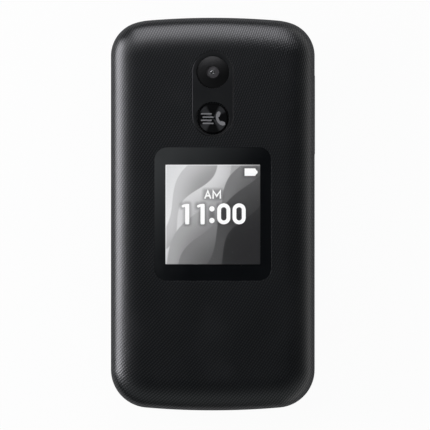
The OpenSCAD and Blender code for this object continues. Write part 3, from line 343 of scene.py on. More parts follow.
class Graph:
    """Short hand for one node tree: adds nodes, sets their inputs and joins them."""

    def __init__(self, tree):
        self.tree = tree

    def put(self, socket, value):
        """Joins a socket to another or sets its value; a colour of three parts gets full cover."""
        if isinstance(value, bpy.types.NodeSocket):
            self.tree.links.new(value, socket)
        else:
            socket.default_value = (*value, 1.0) if socket.type == "RGBA" and len(value) == 3 else value

    def node(self, kind, inputs=(), **settings):
        made = self.tree.nodes.new("ShaderNode" + kind)
        for key, value in settings.items():
            setattr(made, key, value)
        for key, value in dict(inputs).items():
            self.put(made.inputs[key], value)
        return made

    def group(self, tree, **inputs):
        """A node group's outputs; an input's name is written with underscores for blanks."""
        named = {key.replace("_", " "): value for key, value in inputs.items()}
        return self.node("Group", named, node_tree=tree).outputs

    def math(self, operation, *values, clamp=False):
        return self.node("Math", enumerate(values), operation=operation, use_clamp=clamp).outputs[0]

    def plus(self, a, b, clamp=False):
        return self.math("ADD", a, b, clamp=clamp)

    def times(self, a, b):
        return self.math("MULTIPLY", a, b)

    def times_plus(self, a, b, c):
        return self.math("MULTIPLY_ADD", a, b, c)

    def larger(self, a, b):
        return self.math("MAXIMUM", a, b)

    def vector(self, operation, *values, out=0):
        return self.node("VectorMath", enumerate(values), operation=operation).outputs[out]

    def scaled(self, place, by):
        return self.node("VectorMath", {0: place, 3: by}, operation="SCALE").outputs[0]

    def parts(self, place):
        return self.node("SeparateXYZ", {0: place}).outputs

    def noise(self, place, scale, detail=2.0, roughness=0.5):
        return self.node("TexNoise", {"Vector": place, "Scale": scale, "Detail": detail,
                                      "Roughness": roughness}).outputs["Fac"]

    def blend(self, factor, a, b, mode="MIX"):
        return self.node("Mix", {0: factor, 6: a, 7: b}, data_type="RGBA", blend_type=mode).outputs[2]

    def tinted(self, colour, tone):
        """A colour times a tone near one."""
        grey = self.node("CombineColor", {0: tone, 1: tone, 2: tone}).outputs[0]
        return self.blend(1.0, colour, grey, "MULTIPLY")

    def ease(self, value, low, high, start=0.0, stop=1.0):
        """From start to stop along a smooth S as the value goes from low to high."""
        return self.node("MapRange", {0: value, 1: low, 2: high, 3: start, 4: stop},
                         interpolation_type="SMOOTHSTEP").outputs[0]

    def line(self, value, low, high, start=0.0, stop=1.0):
        return self.node("MapRange", {0: value, 1: low, 2: high, 3: start, 4: stop}).outputs[0]


class Effect(Graph):
    """The graph of a new node group. Its inputs are named with underscores for blanks, and are places
    where no value is given for them."""

    def __init__(self, name, **inputs):
        super().__init__(bpy.data.node_groups.new(name, "ShaderNodeTree"))
        for key, value in inputs.items():
            kind = "NodeSocketVector" if value is None else "NodeSocketFloat"
            socket = self.tree.interface.new_socket(key.replace("_", " "), in_out="INPUT", socket_type=kind)
            if value is not None:
                socket.default_value = value
        self.given = self.tree.nodes.new("NodeGroupInput").outputs

    def give(self, **outputs):
        """Adds the outputs, each joined to its value, and gives back the group."""
        end = self.tree.nodes.new("NodeGroupOutput")
        for key, value in outputs.items():
            kind = {"VALUE": "NodeSocketFloat", "RGBA": "NodeSocketColor"}[value.type]
            made = self.tree.interface.new_socket(key.replace("_", " "), in_out="OUTPUT", socket_type=kind)
            self.put(end.inputs[made.name], value)
        return self.tree


def moulded_grain():
    """Spark-eroded mould finish: two noises, one a fifth of the other's size, added as a height, and a
    broad noise that shifts tone and roughness by a few hundredths."""
    g = Effect("moulded grain", Place=None, Grain_per_mm=6.0)
    place, rate = g.scaled(g.given["Place"], PER_M), g.given["Grain per mm"]
    fine = g.noise(g.scaled(place, rate), 1.0, 3.0, 0.6)
    finer = g.noise(g.scaled(place, g.times(rate, 5.0)), 1.0, 2.0)
    broad = g.noise(place, 0.11, 3.0)
    return g.give(Height=g.times_plus(finer, 0.3, fine), Tone=g.line(broad, 0.25, 0.75, 0.93, 1.07),
                  Roughness_shift=g.line(broad, 0.25, 0.75, -0.03, 0.03))


def handling_marks():
    """Traces of use: soft smudges where a broad noise is high, and hairline scratches where a noise
    stretched twelve times along a slant peaks."""
    g = Effect("handling marks", Place=None, Smudge=0.05, Scratch=0.04)
    place = g.scaled(g.given["Place"], PER_M)
    smudge = g.ease(g.noise(g.vector("ADD", place, (3.1, 7.7, 1.3)), 0.07, 4.0, 0.55), 0.5, 0.68)
    slant = g.node("Mapping", {"Vector": place, "Rotation": (0.0, 0.0, 0.6), "Scale": (0.25, 3.0, 1.0)})
    scratch = g.ease(g.noise(slant.outputs[0], 1.0, 1.0), 0.72, 0.76)
    rough = g.times_plus(smudge, g.given["Smudge"], g.times(scratch, g.given["Scratch"]))
    return g.give(Roughness_shift=rough, Height=g.times(scratch, -1.0))


def lid_lattice():
    """The slanted rows of dots of the lid, as a height: a cosine that makes the rows, and two weaker ones
    that part them into dots. The first two phases are quadratics in the place on the unrolled skin, in
    turns per millimetre, and the third is their sum."""
    g = Effect("lid lattice", Lay=None)
    x, y, _ = g.parts(g.given["Lay"])
    xx, xy, yy = g.times(x, x), g.times(x, y), g.times(y, y)

    def phase(*terms):
        total = 0.0
        for turns, value in terms:
            total = g.plus(total, g.times(value, turns * TURN))
        return total

    first = phase((1.2972, x), (-0.7934, y), (0.003749, xx), (0.005007, xy), (0.001943, yy))
    second = phase((0.0814, x), (1.4944, y), (-0.010603, xy))
    rows, *partings = [g.math("COSINE", p) for p in (first, second, g.plus(first, second))]
    return g.give(Height=g.times_plus(g.plus(*partings), 0.32, rows))


def painted_spun_sheen():
    """Painted sheen over a spun face: four bright sectors from the cosine of four times the angle about an
    axis, broken by fine noise of the radius, as a painted lightness for the colour and a height of rings."""
    g = Effect("painted spun sheen", Place=None)
    x, y, _ = g.parts(g.given["Place"])
    radius = g.math("SQRT", g.plus(g.times(x, x), g.times(y, y)))
    painted_fan = g.times(g.math("COSINE", g.times(g.math("ARCTAN2", y, x), 4.0)), -1.0)
    ring = g.node("TexNoise", {"W": g.times(radius, 9.0 * PER_M), "Scale": 1.0, "Detail": 3.0},
                  noise_dimensions="1D").outputs["Fac"]
    # painted highlight: the bright sectors and rings stand in for lamp light fanning over the spun grooves
    lit = g.times_plus(ring, 0.25, g.ease(painted_fan, -0.1, 0.95))
    lit = g.times(lit, g.ease(radius, 3.75 * MM, 3.95 * MM, 1.0, 0.0))
    return g.give(Lightness=lit, Height=ring)


def soft_box():
    """One inside a rounded box and zero beyond a soft edge: the distance past the half size, as
    length(max(|p| - half, 0)), eased from the edge outwards."""
    g = Effect("soft box", Place=None, Middle=None, Half=None, Edge=0.5)
    away = g.vector("ABSOLUTE", g.vector("SUBTRACT", g.given["Place"], g.given["Middle"]))
    away = g.vector("MAXIMUM", g.vector("SUBTRACT", away, g.given["Half"]), (0.0, 0.0, 0.0))
    far = g.vector("LENGTH", g.vector("MULTIPLY", away, (1.0, 1.0, 0.0)), out="Value")
    return g.give(Mask=g.ease(far, 0.0, g.given["Edge"], 1.0, 0.0))


def layered_slopes():
    """The idle picture of the small display: six overlapping slopes, each starting where a slanted
    coordinate plus a slow sine passes its own level, from pale grey down to near black, every slope
    darkest just under the edge of the next."""
    g = Effect("layered slopes", Place=None)
    x, y, _ = g.parts(g.given["Place"])
    down = g.math("DIVIDE", g.times_plus(y, -0.62, x), 16.0)
    along = g.math("DIVIDE", g.times_plus(x, 0.5, y), 16.0)
    colour = g.blend(g.ease(down, -1.3, -0.6), (0.70, 0.71, 0.72), (0.8, 0.8, 0.81))
    # start, swing, rate and lag of the edge's sine, and grey of each slope
    for start, swing, rate, lag, grey in (
            (-0.82, 0.16, 3.1, 0.4, 0.5), (-0.52, 0.13, 4.3, 1.9, 0.6), (-0.26, 0.18, 2.7, 3.3, 0.34),
            (0.0, 0.12, 3.9, 5.0, 0.17), (0.26, 0.16, 3.0, 0.9, 0.06), (0.58, 0.12, 4.1, 2.4, 0.014)):
        wave = g.math("SINE", g.times_plus(along, rate, lag))
        past = g.math("SUBTRACT", g.times_plus(wave, swing, down), start)
        slope = g.tinted((grey, grey, grey * 1.015), g.ease(past, 0.0, 0.55, 1.12, 0.62))
        colour = g.blend(g.ease(past, -0.006, 0.02), colour, slope)
    return g.give(Color=colour)


GRAIN, MARKS, LATTICE = moulded_grain(), handling_marks(), lid_lattice()
PAINTED_SHEEN, SOFT_BOX, SLOPES = painted_spun_sheen(), soft_box(), layered_slopes()


# ---------------------------------------------------------------- finishes

class Finish(Graph):
    """A material's graph and its shader, whose plain values are set on the shader's own sockets; a
    socket's name is written with underscores for blanks."""

    def __init__(self, name, **values):
        self.material = bpy.data.materials.new(name)
        self.material.use_nodes = True
        super().__init__(self.material.node_tree)
        self.place = self.node("TexCoord").outputs["Object"]
        self.paint(**values)

    def paint(self, **values):
        """Sets or joins the shader's sockets and gives back the material."""
        shader = self.tree.nodes["Principled BSDF"]
        for key, value in values.items():
            self.put(shader.inputs[key.replace("_", " ")], value)
        return self.material

    def bump(self, height, depth):
        """The normal of a height, one unit of which is a depth in millimetres."""
        return self.node("Bump", {"Height": height, "Distance": depth * MM, "Strength": 1.0}).outputs[0]

    def glancing(self, low, high, start, stop):
        """From start to stop as the surface turns from square on to edge on."""
        return self.ease(self.node("LayerWeight", {"Blend": 0.5}).outputs["Facing"], low, high, start, stop)


def plastic(name, colour, roughness, grain=6.0, depth=0.006, smudge=0.05, scratch=0.03, dulls=0.0,
            **values):
    """Moulded plastic: grain as bump, with tone and roughness that drift, and marks of handling. The
    grain takes the gloss away at a low angle by the share that dulls gives."""
    g = Finish(name, **values)
    grained = g.group(GRAIN, Place=g.place, Grain_per_mm=grain)
    marks = g.group(MARKS, Place=g.place, Smudge=smudge, Scratch=scratch)
    rough = g.plus(grained["Roughness shift"], marks["Roughness shift"])
    if dulls:
        rough = g.plus(rough, g.glancing(0.4, 0.85, 0.0, dulls))
    return g.paint(Base_Color=g.tinted(colour, grained["Tone"]),
                   Roughness=g.plus(rough, roughness, clamp=True),
                   Normal=g.bump(g.times_plus(marks["Height"], 0.6, grained["Height"]), depth))


def lattice_plastic(name, colour, roughness, depth, polish, follows_skin, **values):
    """Charcoal plastic with the moulded lattice of dots, whose tops are rubbed to a polish while the
    ground between them stays dull, and a finer grain over it. The colour carries painted light on the
    dots' tops and painted shade in the ground between them. The lattice follows the unrolled skin, or
    lies on the plan and fades out where the surface turns upright."""
    g = Finish(name, **values)
    if follows_skin:
        lay = g.node("Attribute", attribute_name="lay", attribute_type="GEOMETRY").outputs["Vector"]
        dots = g.group(LATTICE, Lay=lay)["Height"]
    else:
        _, _, up = g.parts(g.node("TexCoord").outputs["Normal"])
        dots = g.times(g.group(LATTICE, Lay=g.scaled(g.place, PER_M))["Height"],
                       g.ease(g.math("ABSOLUTE", up), 0.35, 0.8))
    grained = g.group(GRAIN, Place=g.place, Grain_per_mm=9.0)
    marks = g.group(MARKS, Place=g.place, Smudge=0.03, Scratch=0.0)
    shine = g.times(g.line(dots, -0.9, 1.3, 0.0, polish), g.glancing(0.3, 0.75, 1.0, 0.0))
    rough = g.times_plus(grained["Roughness shift"], 0.5, marks["Roughness shift"])
    rough = g.plus(rough, g.glancing(0.4, 0.85, 0.0, 0.3))
    height = g.times_plus(dots, depth, g.times(grained["Height"], 0.0003))
    # painted light and shade: the colour is lighter on the dots' tops and darker in the ground between them
    tone = g.times(grained["Tone"], g.line(dots, -1.3, 1.64, 0.1, 2.1))
    return g.paint(Base_Color=g.tinted(colour, tone), Coat_Weight=shine,
                   Roughness=g.plus(rough, roughness, clamp=True),
                   Normal=g.bump(height, 1.0))


def metal(name, colour, roughness, brushed=(1.0, 14.0, 1.0)):
    """Brushed or tumbled metal: noise drawn out along one axis shifts roughness and height."""
    g = Finish(name, Metallic=1.0)
    lines = g.noise(g.vector("MULTIPLY", g.scaled(g.place, PER_M), brushed), 1.4, 4.0, 0.65)
    return g.paint(Base_Color=g.tinted(colour, g.line(lines, 0.2, 0.8, 0.88, 1.1)),
                   Roughness=g.line(lines, 0.2, 0.8, roughness - 0.06, roughness + 0.08),
                   Normal=g.bump(lines, 0.002))


def clear_glass():
    """Clear window with a coat that lowers its glare: all light passes, and faint smudges dull it."""
    g = Finish("clear window", Transmission_Weight=1.0, IOR=1.25, Base_Color=(1.0, 1.0, 1.0))
    marks = g.group(MARKS, Place=g.place, Smudge=0.03, Scratch=0.02)
    return g.paint(Roughness=g.plus(marks["Roughness shift"], 0.015, clamp=True))


def ink(name, colour, roughness=0.45):
    """Printed or cast marks: tone and roughness that drift a little."""
    g = Finish(name)
    grained = g.group(GRAIN, Place=g.place, Grain_per_mm=8.0)
    return g.paint(Base_Color=g.tinted(colour, grained["Tone"]),
                   Roughness=g.plus(grained["Roughness shift"], roughness))


def lit_marks():
    """The white figures of the display: light alone, on a dark ground."""
    g = Finish("lit figures", Emission_Strength=1.0, Roughness=0.5, Base_Color=(0.02, 0.02, 0.02))
    drift = g.line(g.noise(g.place, 60.0, 1.0), 0.3, 0.7, 0.97, 1.0)
    return g.paint(Emission_Color=g.tinted((1.0, 1.0, 1.0), drift))


def cosines(g, x, y, turns):
    """The product of the cosines of x and y, which make a number of turns in each unit of length."""
    return g.times(g.math("COSINE", g.times(x, TURN * turns)), g.math("COSINE", g.times(y, TURN * turns)))


def lit_picture():
    """The display's face: the layered slopes with dark halos round the figures, a bright line along the
    top and left edges where the backlight shows, and a fine grid of picture elements."""
    dark = (0.01, 0.01, 0.011)
    g = Finish("lit picture", Emission_Strength=1.0, Roughness=0.35, Base_Color=dark)
    place = g.scaled(g.place, PER_M)
    halo = 0.0
    for middle, half in (
            ((-6.9, 0.1), (0.35, 2.6)), ((-7.6, 2.2), (0.6, 0.3)), ((-2.75, 0.1), (0.35, 2.6)),
            ((-3.5, 2.2), (0.6, 0.3)), ((-0.24, -0.15), (0.2, 1.7)), ((2.95, 0.08), (1.3, 2.3)),
            ((7.09, 0.08), (1.3, 2.3)), ((0.05, 5.3), (2.1, 0.9)), ((10.2, 11.3), (1.5, 0.8))):
        halo = g.larger(halo, g.group(SOFT_BOX, Place=place, Middle=(*middle, 0.0), Half=(*half, 90.0),
                                      Edge=1.3)["Mask"])
    colour = g.blend(g.times(halo, 0.5), g.group(SLOPES, Place=place)["Color"], dark)
    x, y, _ = g.parts(place)
    edge = g.larger(g.ease(x, -12.62, -12.4, 1.0, 0.0), g.ease(y, 12.98, 13.2))
    edge = g.times(edge, g.ease(g.math("SUBTRACT", y, x), -8.0, 8.0))
    colour = g.blend(g.times(edge, 0.6), colour, (0.95, 0.95, 0.96))
    return g.paint(Emission_Color=g.tinted(colour, g.line(cosines(g, x, y, 5.0), -1.0, 1.0, 0.97, 1.0)))


def spun_face_with_painted_sheen():
    """The quick key: dark spun aluminium, whose colour carries a painted sheen that fans out in sectors."""
    g = Finish("spun aluminium with painted sheen", Metallic=1.0)
    rings_and_painted_sheen = g.group(PAINTED_SHEEN, Place=g.vector("ADD", g.place, (0.0, -KEY_Y * MM, 0.0)))
    # painted sheen: the fanned painted lightness goes into the base colour
    tone = g.line(rings_and_painted_sheen["Lightness"], 0.0, 1.2, 0.06, 1.1)
    return g.paint(Base_Color=g.tinted((0.048, 0.049, 0.051), tone),
                   Roughness=g.line(rings_and_painted_sheen["Height"], 0.2, 0.8, 0.34, 0.5),
                   Normal=g.bump(rings_and_painted_sheen["Height"], 0.003))


def circuit_green():
    """Green lacquer over copper: tracks where a noise of snapped places crosses a level, and dots of
    solder at a regular pitch."""
    g = Finish("circuit board")
    place = g.scaled(g.place, PER_M)
    tracks = g.ease(g.noise(g.vector("SNAP", place, (0.6, 0.6, 40.0)), 0.35, 2.0), 0.5, 0.52)
    dots = g.node("TexVoronoi", {"Vector": place, "Scale": 0.55, "Randomness": 0.35}).outputs["Distance"]
    pads = g.ease(dots, 0.22, 0.26, 1.0, 0.0)
    green = g.blend(tracks, (0.006, 0.05, 0.022), (0.012, 0.11, 0.045))
    return g.paint(Base_Color=g.blend(pads, green, (0.55, 0.45, 0.22)), Metallic=pads,
                   Roughness=g.line(tracks, 0.0, 1.0, 0.42, 0.3), Normal=g.bump(tracks, 0.03))


def woven_steel():
    """The earpiece's mesh: round holes on a square pitch, as depth, and coloured near black as painted shade.
    """
    g, pitch = Finish("earpiece mesh", Metallic=1.0, Roughness=0.38), 0.42
    x, y, _ = g.parts(g.scaled(g.place, PER_M / pitch))
    hole = g.ease(cosines(g, x, y, 1.0), -0.05, 0.25)
    # painted shade: the holes are coloured near black for the dark seen through them
    return g.paint(Base_Color=g.blend(hole, (0.22, 0.22, 0.23), (0.004, 0.004, 0.004)),
                   Normal=g.bump(g.times(hole, -1.0), 0.05))


lid_plastic = lattice_plastic("lattice charcoal", (0.0006, 0.0011, 0.0016), 0.31, depth=0.014, polish=1.0,
                              follows_skin=True, Specular_IOR_Level=0.42, Coat_Roughness=0.285)
back_plastic = lattice_plastic("back charcoal", (0.008, 0.0083, 0.009), 0.36, depth=0.009, polish=0.4,
                               follows_skin=False, Specular_IOR_Level=0.4, Coat_Roughness=0.32)
shell_plastic = plastic("charcoal shell", (0.016, 0.0165, 0.0175), 0.42, dulls=0.25)
frame_black = plastic("black frame", (0.010, 0.0102, 0.011), 0.36, grain=8.0, depth=0.004, dulls=0.25)
trim_black = plastic("satin trim", (0.0022, 0.0026, 0.003), 0.33, grain=8.0, depth=0.001, dulls=0.3,
                     Specular_IOR_Level=0.4)
camera_black = plastic("camera black", (0.0003, 0.0003, 0.0004), 0.32, grain=8.0, depth=0.001, smudge=0.02,
                       Specular_IOR_Level=0.34)
mask_black = plastic("black tape", (0.0012, 0.0012, 0.0014), 0.5, depth=0.001, Specular_IOR_Level=0.0)
POLISHED = {"grain": 2.0, "depth": 0.00002, "smudge": 0.03, "scratch": 0.0}
border_black = plastic("window border", (0.0028, 0.0032, 0.0037), 0.04, **POLISHED)
sleeping_glass = plastic("sleeping window", (0.010, 0.0112, 0.0135), 0.05, **POLISHED)
sleeping_screen = plastic("sleeping screen", (0.018, 0.02, 0.024), 0.16, grain=3.0, depth=0.0005)
window_clear = clear_glass()
lens_grey = plastic("lens face", (0.036, 0.0345, 0.036), 0.12, depth=0.0005, smudge=0.02, Coat_Weight=0.6)
pupil_black = plastic("lens pupil", (0.003, 0.003, 0.004), 0.1, depth=0.0001, smudge=0.0, scratch=0.0,
                      Specular_IOR_Level=1.0)
key_black = plastic("key caps", (0.022, 0.0225, 0.024), 0.3, grain=5.0, depth=0.002, dulls=0.25)
key_silver = plastic("metallic lacquer", (0.24, 0.245, 0.25), 0.3, grain=14.0, depth=0.002, dulls=0.2,
                     Metallic=0.85)
rubber_black = plastic("rubber", (0.014, 0.014, 0.0145), 0.75, grain=5.0, depth=0.01)
module_black = plastic("black module", (0.012, 0.012, 0.0125), 0.5, depth=0.004)
membrane_grey = plastic("silicone sheet", (0.42, 0.42, 0.43), 0.6, Subsurface_Weight=0.1)
battery_wrap = plastic("battery wrap", (0.13, 0.13, 0.14), 0.35, grain=3.0, depth=0.004)
flex_amber = plastic("amber film", (0.4, 0.19, 0.04), 0.3, grain=2.0, depth=0.003)
cut_edge = metal("cut edge", (0.055, 0.055, 0.057), 0.36, brushed=(3.0, 3.0, 3.0))
steel = metal("brushed steel", (0.56, 0.56, 0.58), 0.34)
gold = metal("gold contacts", (0.78, 0.57, 0.26), 0.28)
legend_white = ink("printed figures", (0.72, 0.73, 0.75))
legend_green = ink("green sign", (0.03, 0.42, 0.08))
legend_red = ink("red sign", (0.55, 0.02, 0.015))
sign_grey = ink("cast sign", (0.12, 0.12, 0.123), 0.5)
sign_dark = ink("dark arrows", (0.015, 0.015, 0.016))
picture, figures, spun = lit_picture(), lit_marks(), spun_face_with_painted_sheen()
mesh_steel, board_green = woven_steel(), circuit_green()


# ---------------------------------------------------------------- lid

def lid_roll(inset, width, height, steps):
    """The rolled edge: inset + width * (1 - cos^p) and wall top + height * sin^p of an angle from nothing
    to a right angle, p being a little under one."""
    angle = np.linspace(0, math.pi / 2, steps + 1)
    cosine = np.clip(np.cos(angle), 0, 1) ** ROLL_POWER
    cosine[-1] = 0.0
    return inset + width * (1 - cosine), WALL_TOP + height * np.sin(angle) ** ROLL_POWER


def rim_height(ring):
    """Height of the lid's rim: the seam, or past the hinge a slope that starts from its axis."""
    return np.maximum(SEAM_Z, HINGE_Z + (ring[:, 1] - HINGE_Y) * RIM_SLOPE)


def lid_outside(skin):
    """The outer skin from the rim to the flat top, with each point's place on the skin unrolled from the
    top: its plan place pushed outwards by the length that the roll adds."""
    chamfer = 0.12
    insets, heights = lid_roll(0.0, ROLL_W, ROLL_H, 26)
    rings = [plan_ring(chamfer), plan_ring(0.0), *map(plan_ring, insets)]
    edge = np.minimum(rim_height(rings[1]) + chamfer, WALL_TOP)
    rows = [raised(rings[0], rim_height(rings[0])), raised(rings[1], edge)]
    rows += [raised(ring, z) for ring, z in zip(rings[2:], heights)]
    outward = plan_ring(0.0) - plan_ring(1.0)
    along = np.hypot(np.diff(insets), np.diff(heights))
    added = np.concatenate([np.cumsum((along - np.diff(insets))[::-1])[::-1], [0.0]])
    wall = added[0] + WALL_TOP - edge
    lays = [np.column_stack([ring + outward * np.reshape(push, (-1, 1)), np.zeros(len(ring))])
            for ring, push in zip(rings, [wall, wall, *added])]
    skin.rows(rows, lays=lays)
    return rows[0], rings[-1]


def lid_pocket(skin, size, at, floor, lip=0.03):
    """A pocket's lip and wall: the lip is a quarter round, lip * (1 - cos) outwards and lip * sin upwards,
    and the wall drops from it to the floor."""
    drawn, up = rounding(lip, 4)
    loops = [rounded_loop(size, at, grow) for grow in drawn[::-1]]
    skin.wall([*loops, loops[-1]], [*(LID_TOP - lip + up[::-1]), floor])
    return loops[0], loops[-1]


def make_lid_cover():
    """The lid's cover as one closed shell: outer skin, flat top with two pockets, their floors and the
    openings through them, ceiling, inner roll and rim."""
    skin, slack = Skin(), np.array([0.1, 0.1, 0.0])
    rim, top_ring = lid_outside(skin)
    window_lip, window_wall = lid_pocket(skin, WINDOW + slack, (0, 0), WINDOW_FLOOR)
    plate_lip, plate_wall = lid_pocket(skin, PLATE + slack + [0, 0, 0.05], (0, PLATE_Y), PLATE_FLOOR)
    skin.level(LID_TOP, top_ring, [window_lip, plate_lip])
    sight = rounded_loop((SCREEN[0] + 1, SCREEN[1] + 1, 0.3), (0, SCREEN_Y), steps=3)
    camera, key = circle(3.6, (0, CAMERA_Y)), circle(3.25, (0, KEY_Y))
    skin.level(WINDOW_FLOOR, window_wall, [sight])
    skin.level(PLATE_FLOOR, plate_wall, [camera, key])
    for loop, floor in ((sight, WINDOW_FLOOR), (camera, PLATE_FLOOR), (key, PLATE_FLOOR)):
        skin.wall([loop, loop], [floor, CEILING_Z])
    insets, heights = lid_roll(COVER_WALL, ROLL_W - COVER_WALL, CEILING_Z - WALL_TOP, 12)
    inner = [plan_ring(inset) for inset in insets]
    low = plan_ring(COVER_WALL)
    skin.rows([rim, raised(low, rim_height(low)), *(raised(r, z) for r, z in zip(inner, heights))])
    skin.level(CEILING_Z, inner[-1], [sight, camera, key])
    piece("lid_cover", skin, "lid", lid_plastic, ["lid_outer_cover"])


def framed_pane(name, node, size, at, sight, sight_at, face_z, back_z, sag, glass):
    """A flush window in two pieces: a gloss black frame, whose crowned face is carried from the outline
    to the opening by even steps between the two loops, and a pane that closes the opening under the
    same crown."""
    outline = rounded_loop(size, at, sides=16)
    opening = rounded_loop(sight, sight_at, sides=16)

    def faced(loop):
        return raised(loop, crown(loop, size, at, face_z, sag))

    border = Skin()
    steps = [outline + (opening - outline) * s for s in np.linspace(0, 1, 7)]
    border.rows([raised(outline, back_z), *map(faced, steps), raised(opening, back_z)], closed=True)
    piece(name + "_border", border, "lid", border_black, [node])

    pane = Skin()
    slack = 0.02
    edge = rounded_loop((sight[0] - slack, sight[1] - slack, sight[2]), sight_at, sides=16)
    middle = np.asarray(sight_at, float)
    pane.rows([raised(edge, back_z), *(faced((edge - middle) * s + middle) for s in np.linspace(1, 0, 9))])
    pane.level(back_z, edge)
    piece(name + "_glass", pane, "lid", glass, [node])


def make_window():
    """The outer window over the tape that holds it, and the lit face of the display below."""
    glass_z, tape_z, face_z = WINDOW_FLOOR + 0.035, WINDOW_FLOOR + 0.029, 18.06
    sight = (SCREEN[0] + 0.2, SCREEN[1] + 0.2, 0.25)
    framed_pane("window", "outer_window", WINDOW, (0.0, 0.0), sight, (0.0, SCREEN_Y), LID_TOP, glass_z,
                sag=0.13, glass=window_clear)
    tape = Skin()
    tape.slab(rounded_loop(WINDOW), WINDOW_FLOOR, tape_z, [rounded_loop(sight, (0, SCREEN_Y), steps=3)])
    piece("window_tape", tape, "lid", mask_black)
    face = Skin()
    face.slab(rounded_loop((*SCREEN, 0.15), (0, SCREEN_Y), steps=3), CEILING_Z, face_z)
    piece("display_face", face, "lid", picture)


def make_display_figures():
    """The time, the letters over it and the battery sign, as thin raised marks on the display's face."""
    marks, bottom, thick = Skin(), 18.062, 0.012
    layer = 0.003                      # strokes that cross lie this much apart
    for x in (-6.906, -2.75):
        ribbon(marks, [(x, -2.1), (x, 2.1)], 1.14, bottom, thick)
        for end in (-1, 1):
            ribbon(marks, [(x - 0.3, end * 2.5), (x + 0.3, end * 2.5)], 0.54, bottom + layer, thick)
        ribbon(marks, [(x - 1.15, 2.13), (x - 0.75, 2.3), (x, 2.38)], 0.72, bottom + 2 * layer, thick)
    for y in (1.42, -1.73):
        marks.rows(turned([(0, bottom), (0.72, bottom), (0.72, bottom + thick), (0, bottom + thick)],
                          (-0.24, y), 40))
    for x in (2.955, 7.09):
        ribbon(marks, rounded_loop((2.51, 4.61, 1.25), (x, 0.075), steps=12), 1.04, bottom, thick, True)
    for sign, x in (("A", -1.35), ("M", 1.0)):
        figure(marks, sign, (x, 5.3), 1.95, 0.42, bottom, thick)
    cell = np.array([(8.57, 10.3), (11.45, 10.3), (11.7, 10.75), (12.06, 11.05), (12.06, 11.58),
                     (11.7, 11.88), (11.45, 12.33), (8.57, 12.33)])
    marks.slab(cell, bottom, bottom + thick)
    piece("display_figures", marks, "lid", figures, weighted=False)


def make_camera_plate():
    """The capsule plate with two round openings, and the thin metal line that is let in round it: its
    face falls outwards at 45 degrees."""
    at, line, line_foot = (0.0, PLATE_Y), 0.2, PLATE_TOP - 0.6
    outline, drawn_in = [rounded_loop(PLATE, at, -d, 20) for d in (0.0, line)]
    edging = Skin()
    edging.rows([raised(outline, line_foot), raised(outline, PLATE_TOP - line),
                 raised(drawn_in, PLATE_TOP), raised(drawn_in, line_foot)], closed=True)
    piece("camera_plate_line", edging, "lid", cut_edge, ["camera_trim_plate"])

    skin, ledge = Skin(), line_foot - 0.01
    beside, top = [rounded_loop(PLATE, at, -d, 20) for d in (line + 0.01, line + 0.03)]
    skin.wall([outline, outline, beside, beside, top],
              [PLATE_FLOOR, ledge, ledge, PLATE_TOP - 0.02, PLATE_TOP])
    rims, feet, soft = [], [], 0.02
    lip, rise = rounding(soft, 4)
    for y, radius in ((CAMERA_Y, 4.46), (KEY_Y, 4.5)):
        loops = [circle(radius + d, (0, y), 96) for d in lip]
        skin.wall([loops[0], *loops], [PLATE_FLOOR, *(PLATE_TOP - soft + rise)])
        rims.append(loops[-1])
        feet.append(loops[0])
    skin.level(PLATE_TOP, top, rims)
    skin.level(PLATE_FLOOR, outline, feet)
    piece("camera_plate", skin, "lid", trim_black, ["camera_trim_plate"])


def bead(skin, radius, base, low, rise, at, count, steps=96):
    """A disc with a domed top: its height over the low edge is rise * (1 - (distance / radius)^2)."""
    out = np.linspace(radius, 0, count)
    dome = np.column_stack([out, low + rise * (1 - (out / radius) ** 2)])
    skin.rows(turned([(0, base), (radius, base), *dome], at, steps))


def make_camera():
    """The domed camera ring, whose face falls outwards as the distance from the bore to the power 1.5,
    its lens, and the dark pupil with two small lens beads in it."""
    bore, outer, foot = 1.62, 4.4, 18.2
    radius = np.linspace(outer, bore + 0.06, 18)
    dome = np.column_stack([radius, 18.98 - 0.36 * ((radius - bore) / (outer - bore)) ** 1.5])
    ring = Skin()
    ring.rows(turned([(bore, foot), (outer, foot), *dome, (bore, 18.9)], (0, CAMERA_Y)), closed=True)
    piece("camera_dome", ring, "lid", camera_black, ["camera_ring"])

    lens = Skin()
    bead(lens, 1.7, 18.22, 18.68, 0.04, (0, CAMERA_Y), 14)
    piece("camera_glass", lens, "lid", lens_grey, ["camera_lens"])

    pupil = Skin()
    low, top = 18.66, 18.725
    pupil.rows(turned([(0, low), (0.64, low), (0.64, top), (0, top)], (-0.03, CAMERA_Y - 0.05), 48))
    for x, y, wide, high in ((-0.15, 0.15, 0.46, 0.2), (0.25, -0.42, 0.26, 0.12)):
        bead(pupil, wide, 18.7, 18.72, high, (x, CAMERA_Y + y), 10, 40)
    piece("camera_pupil", pupil, "lid", pupil_black)


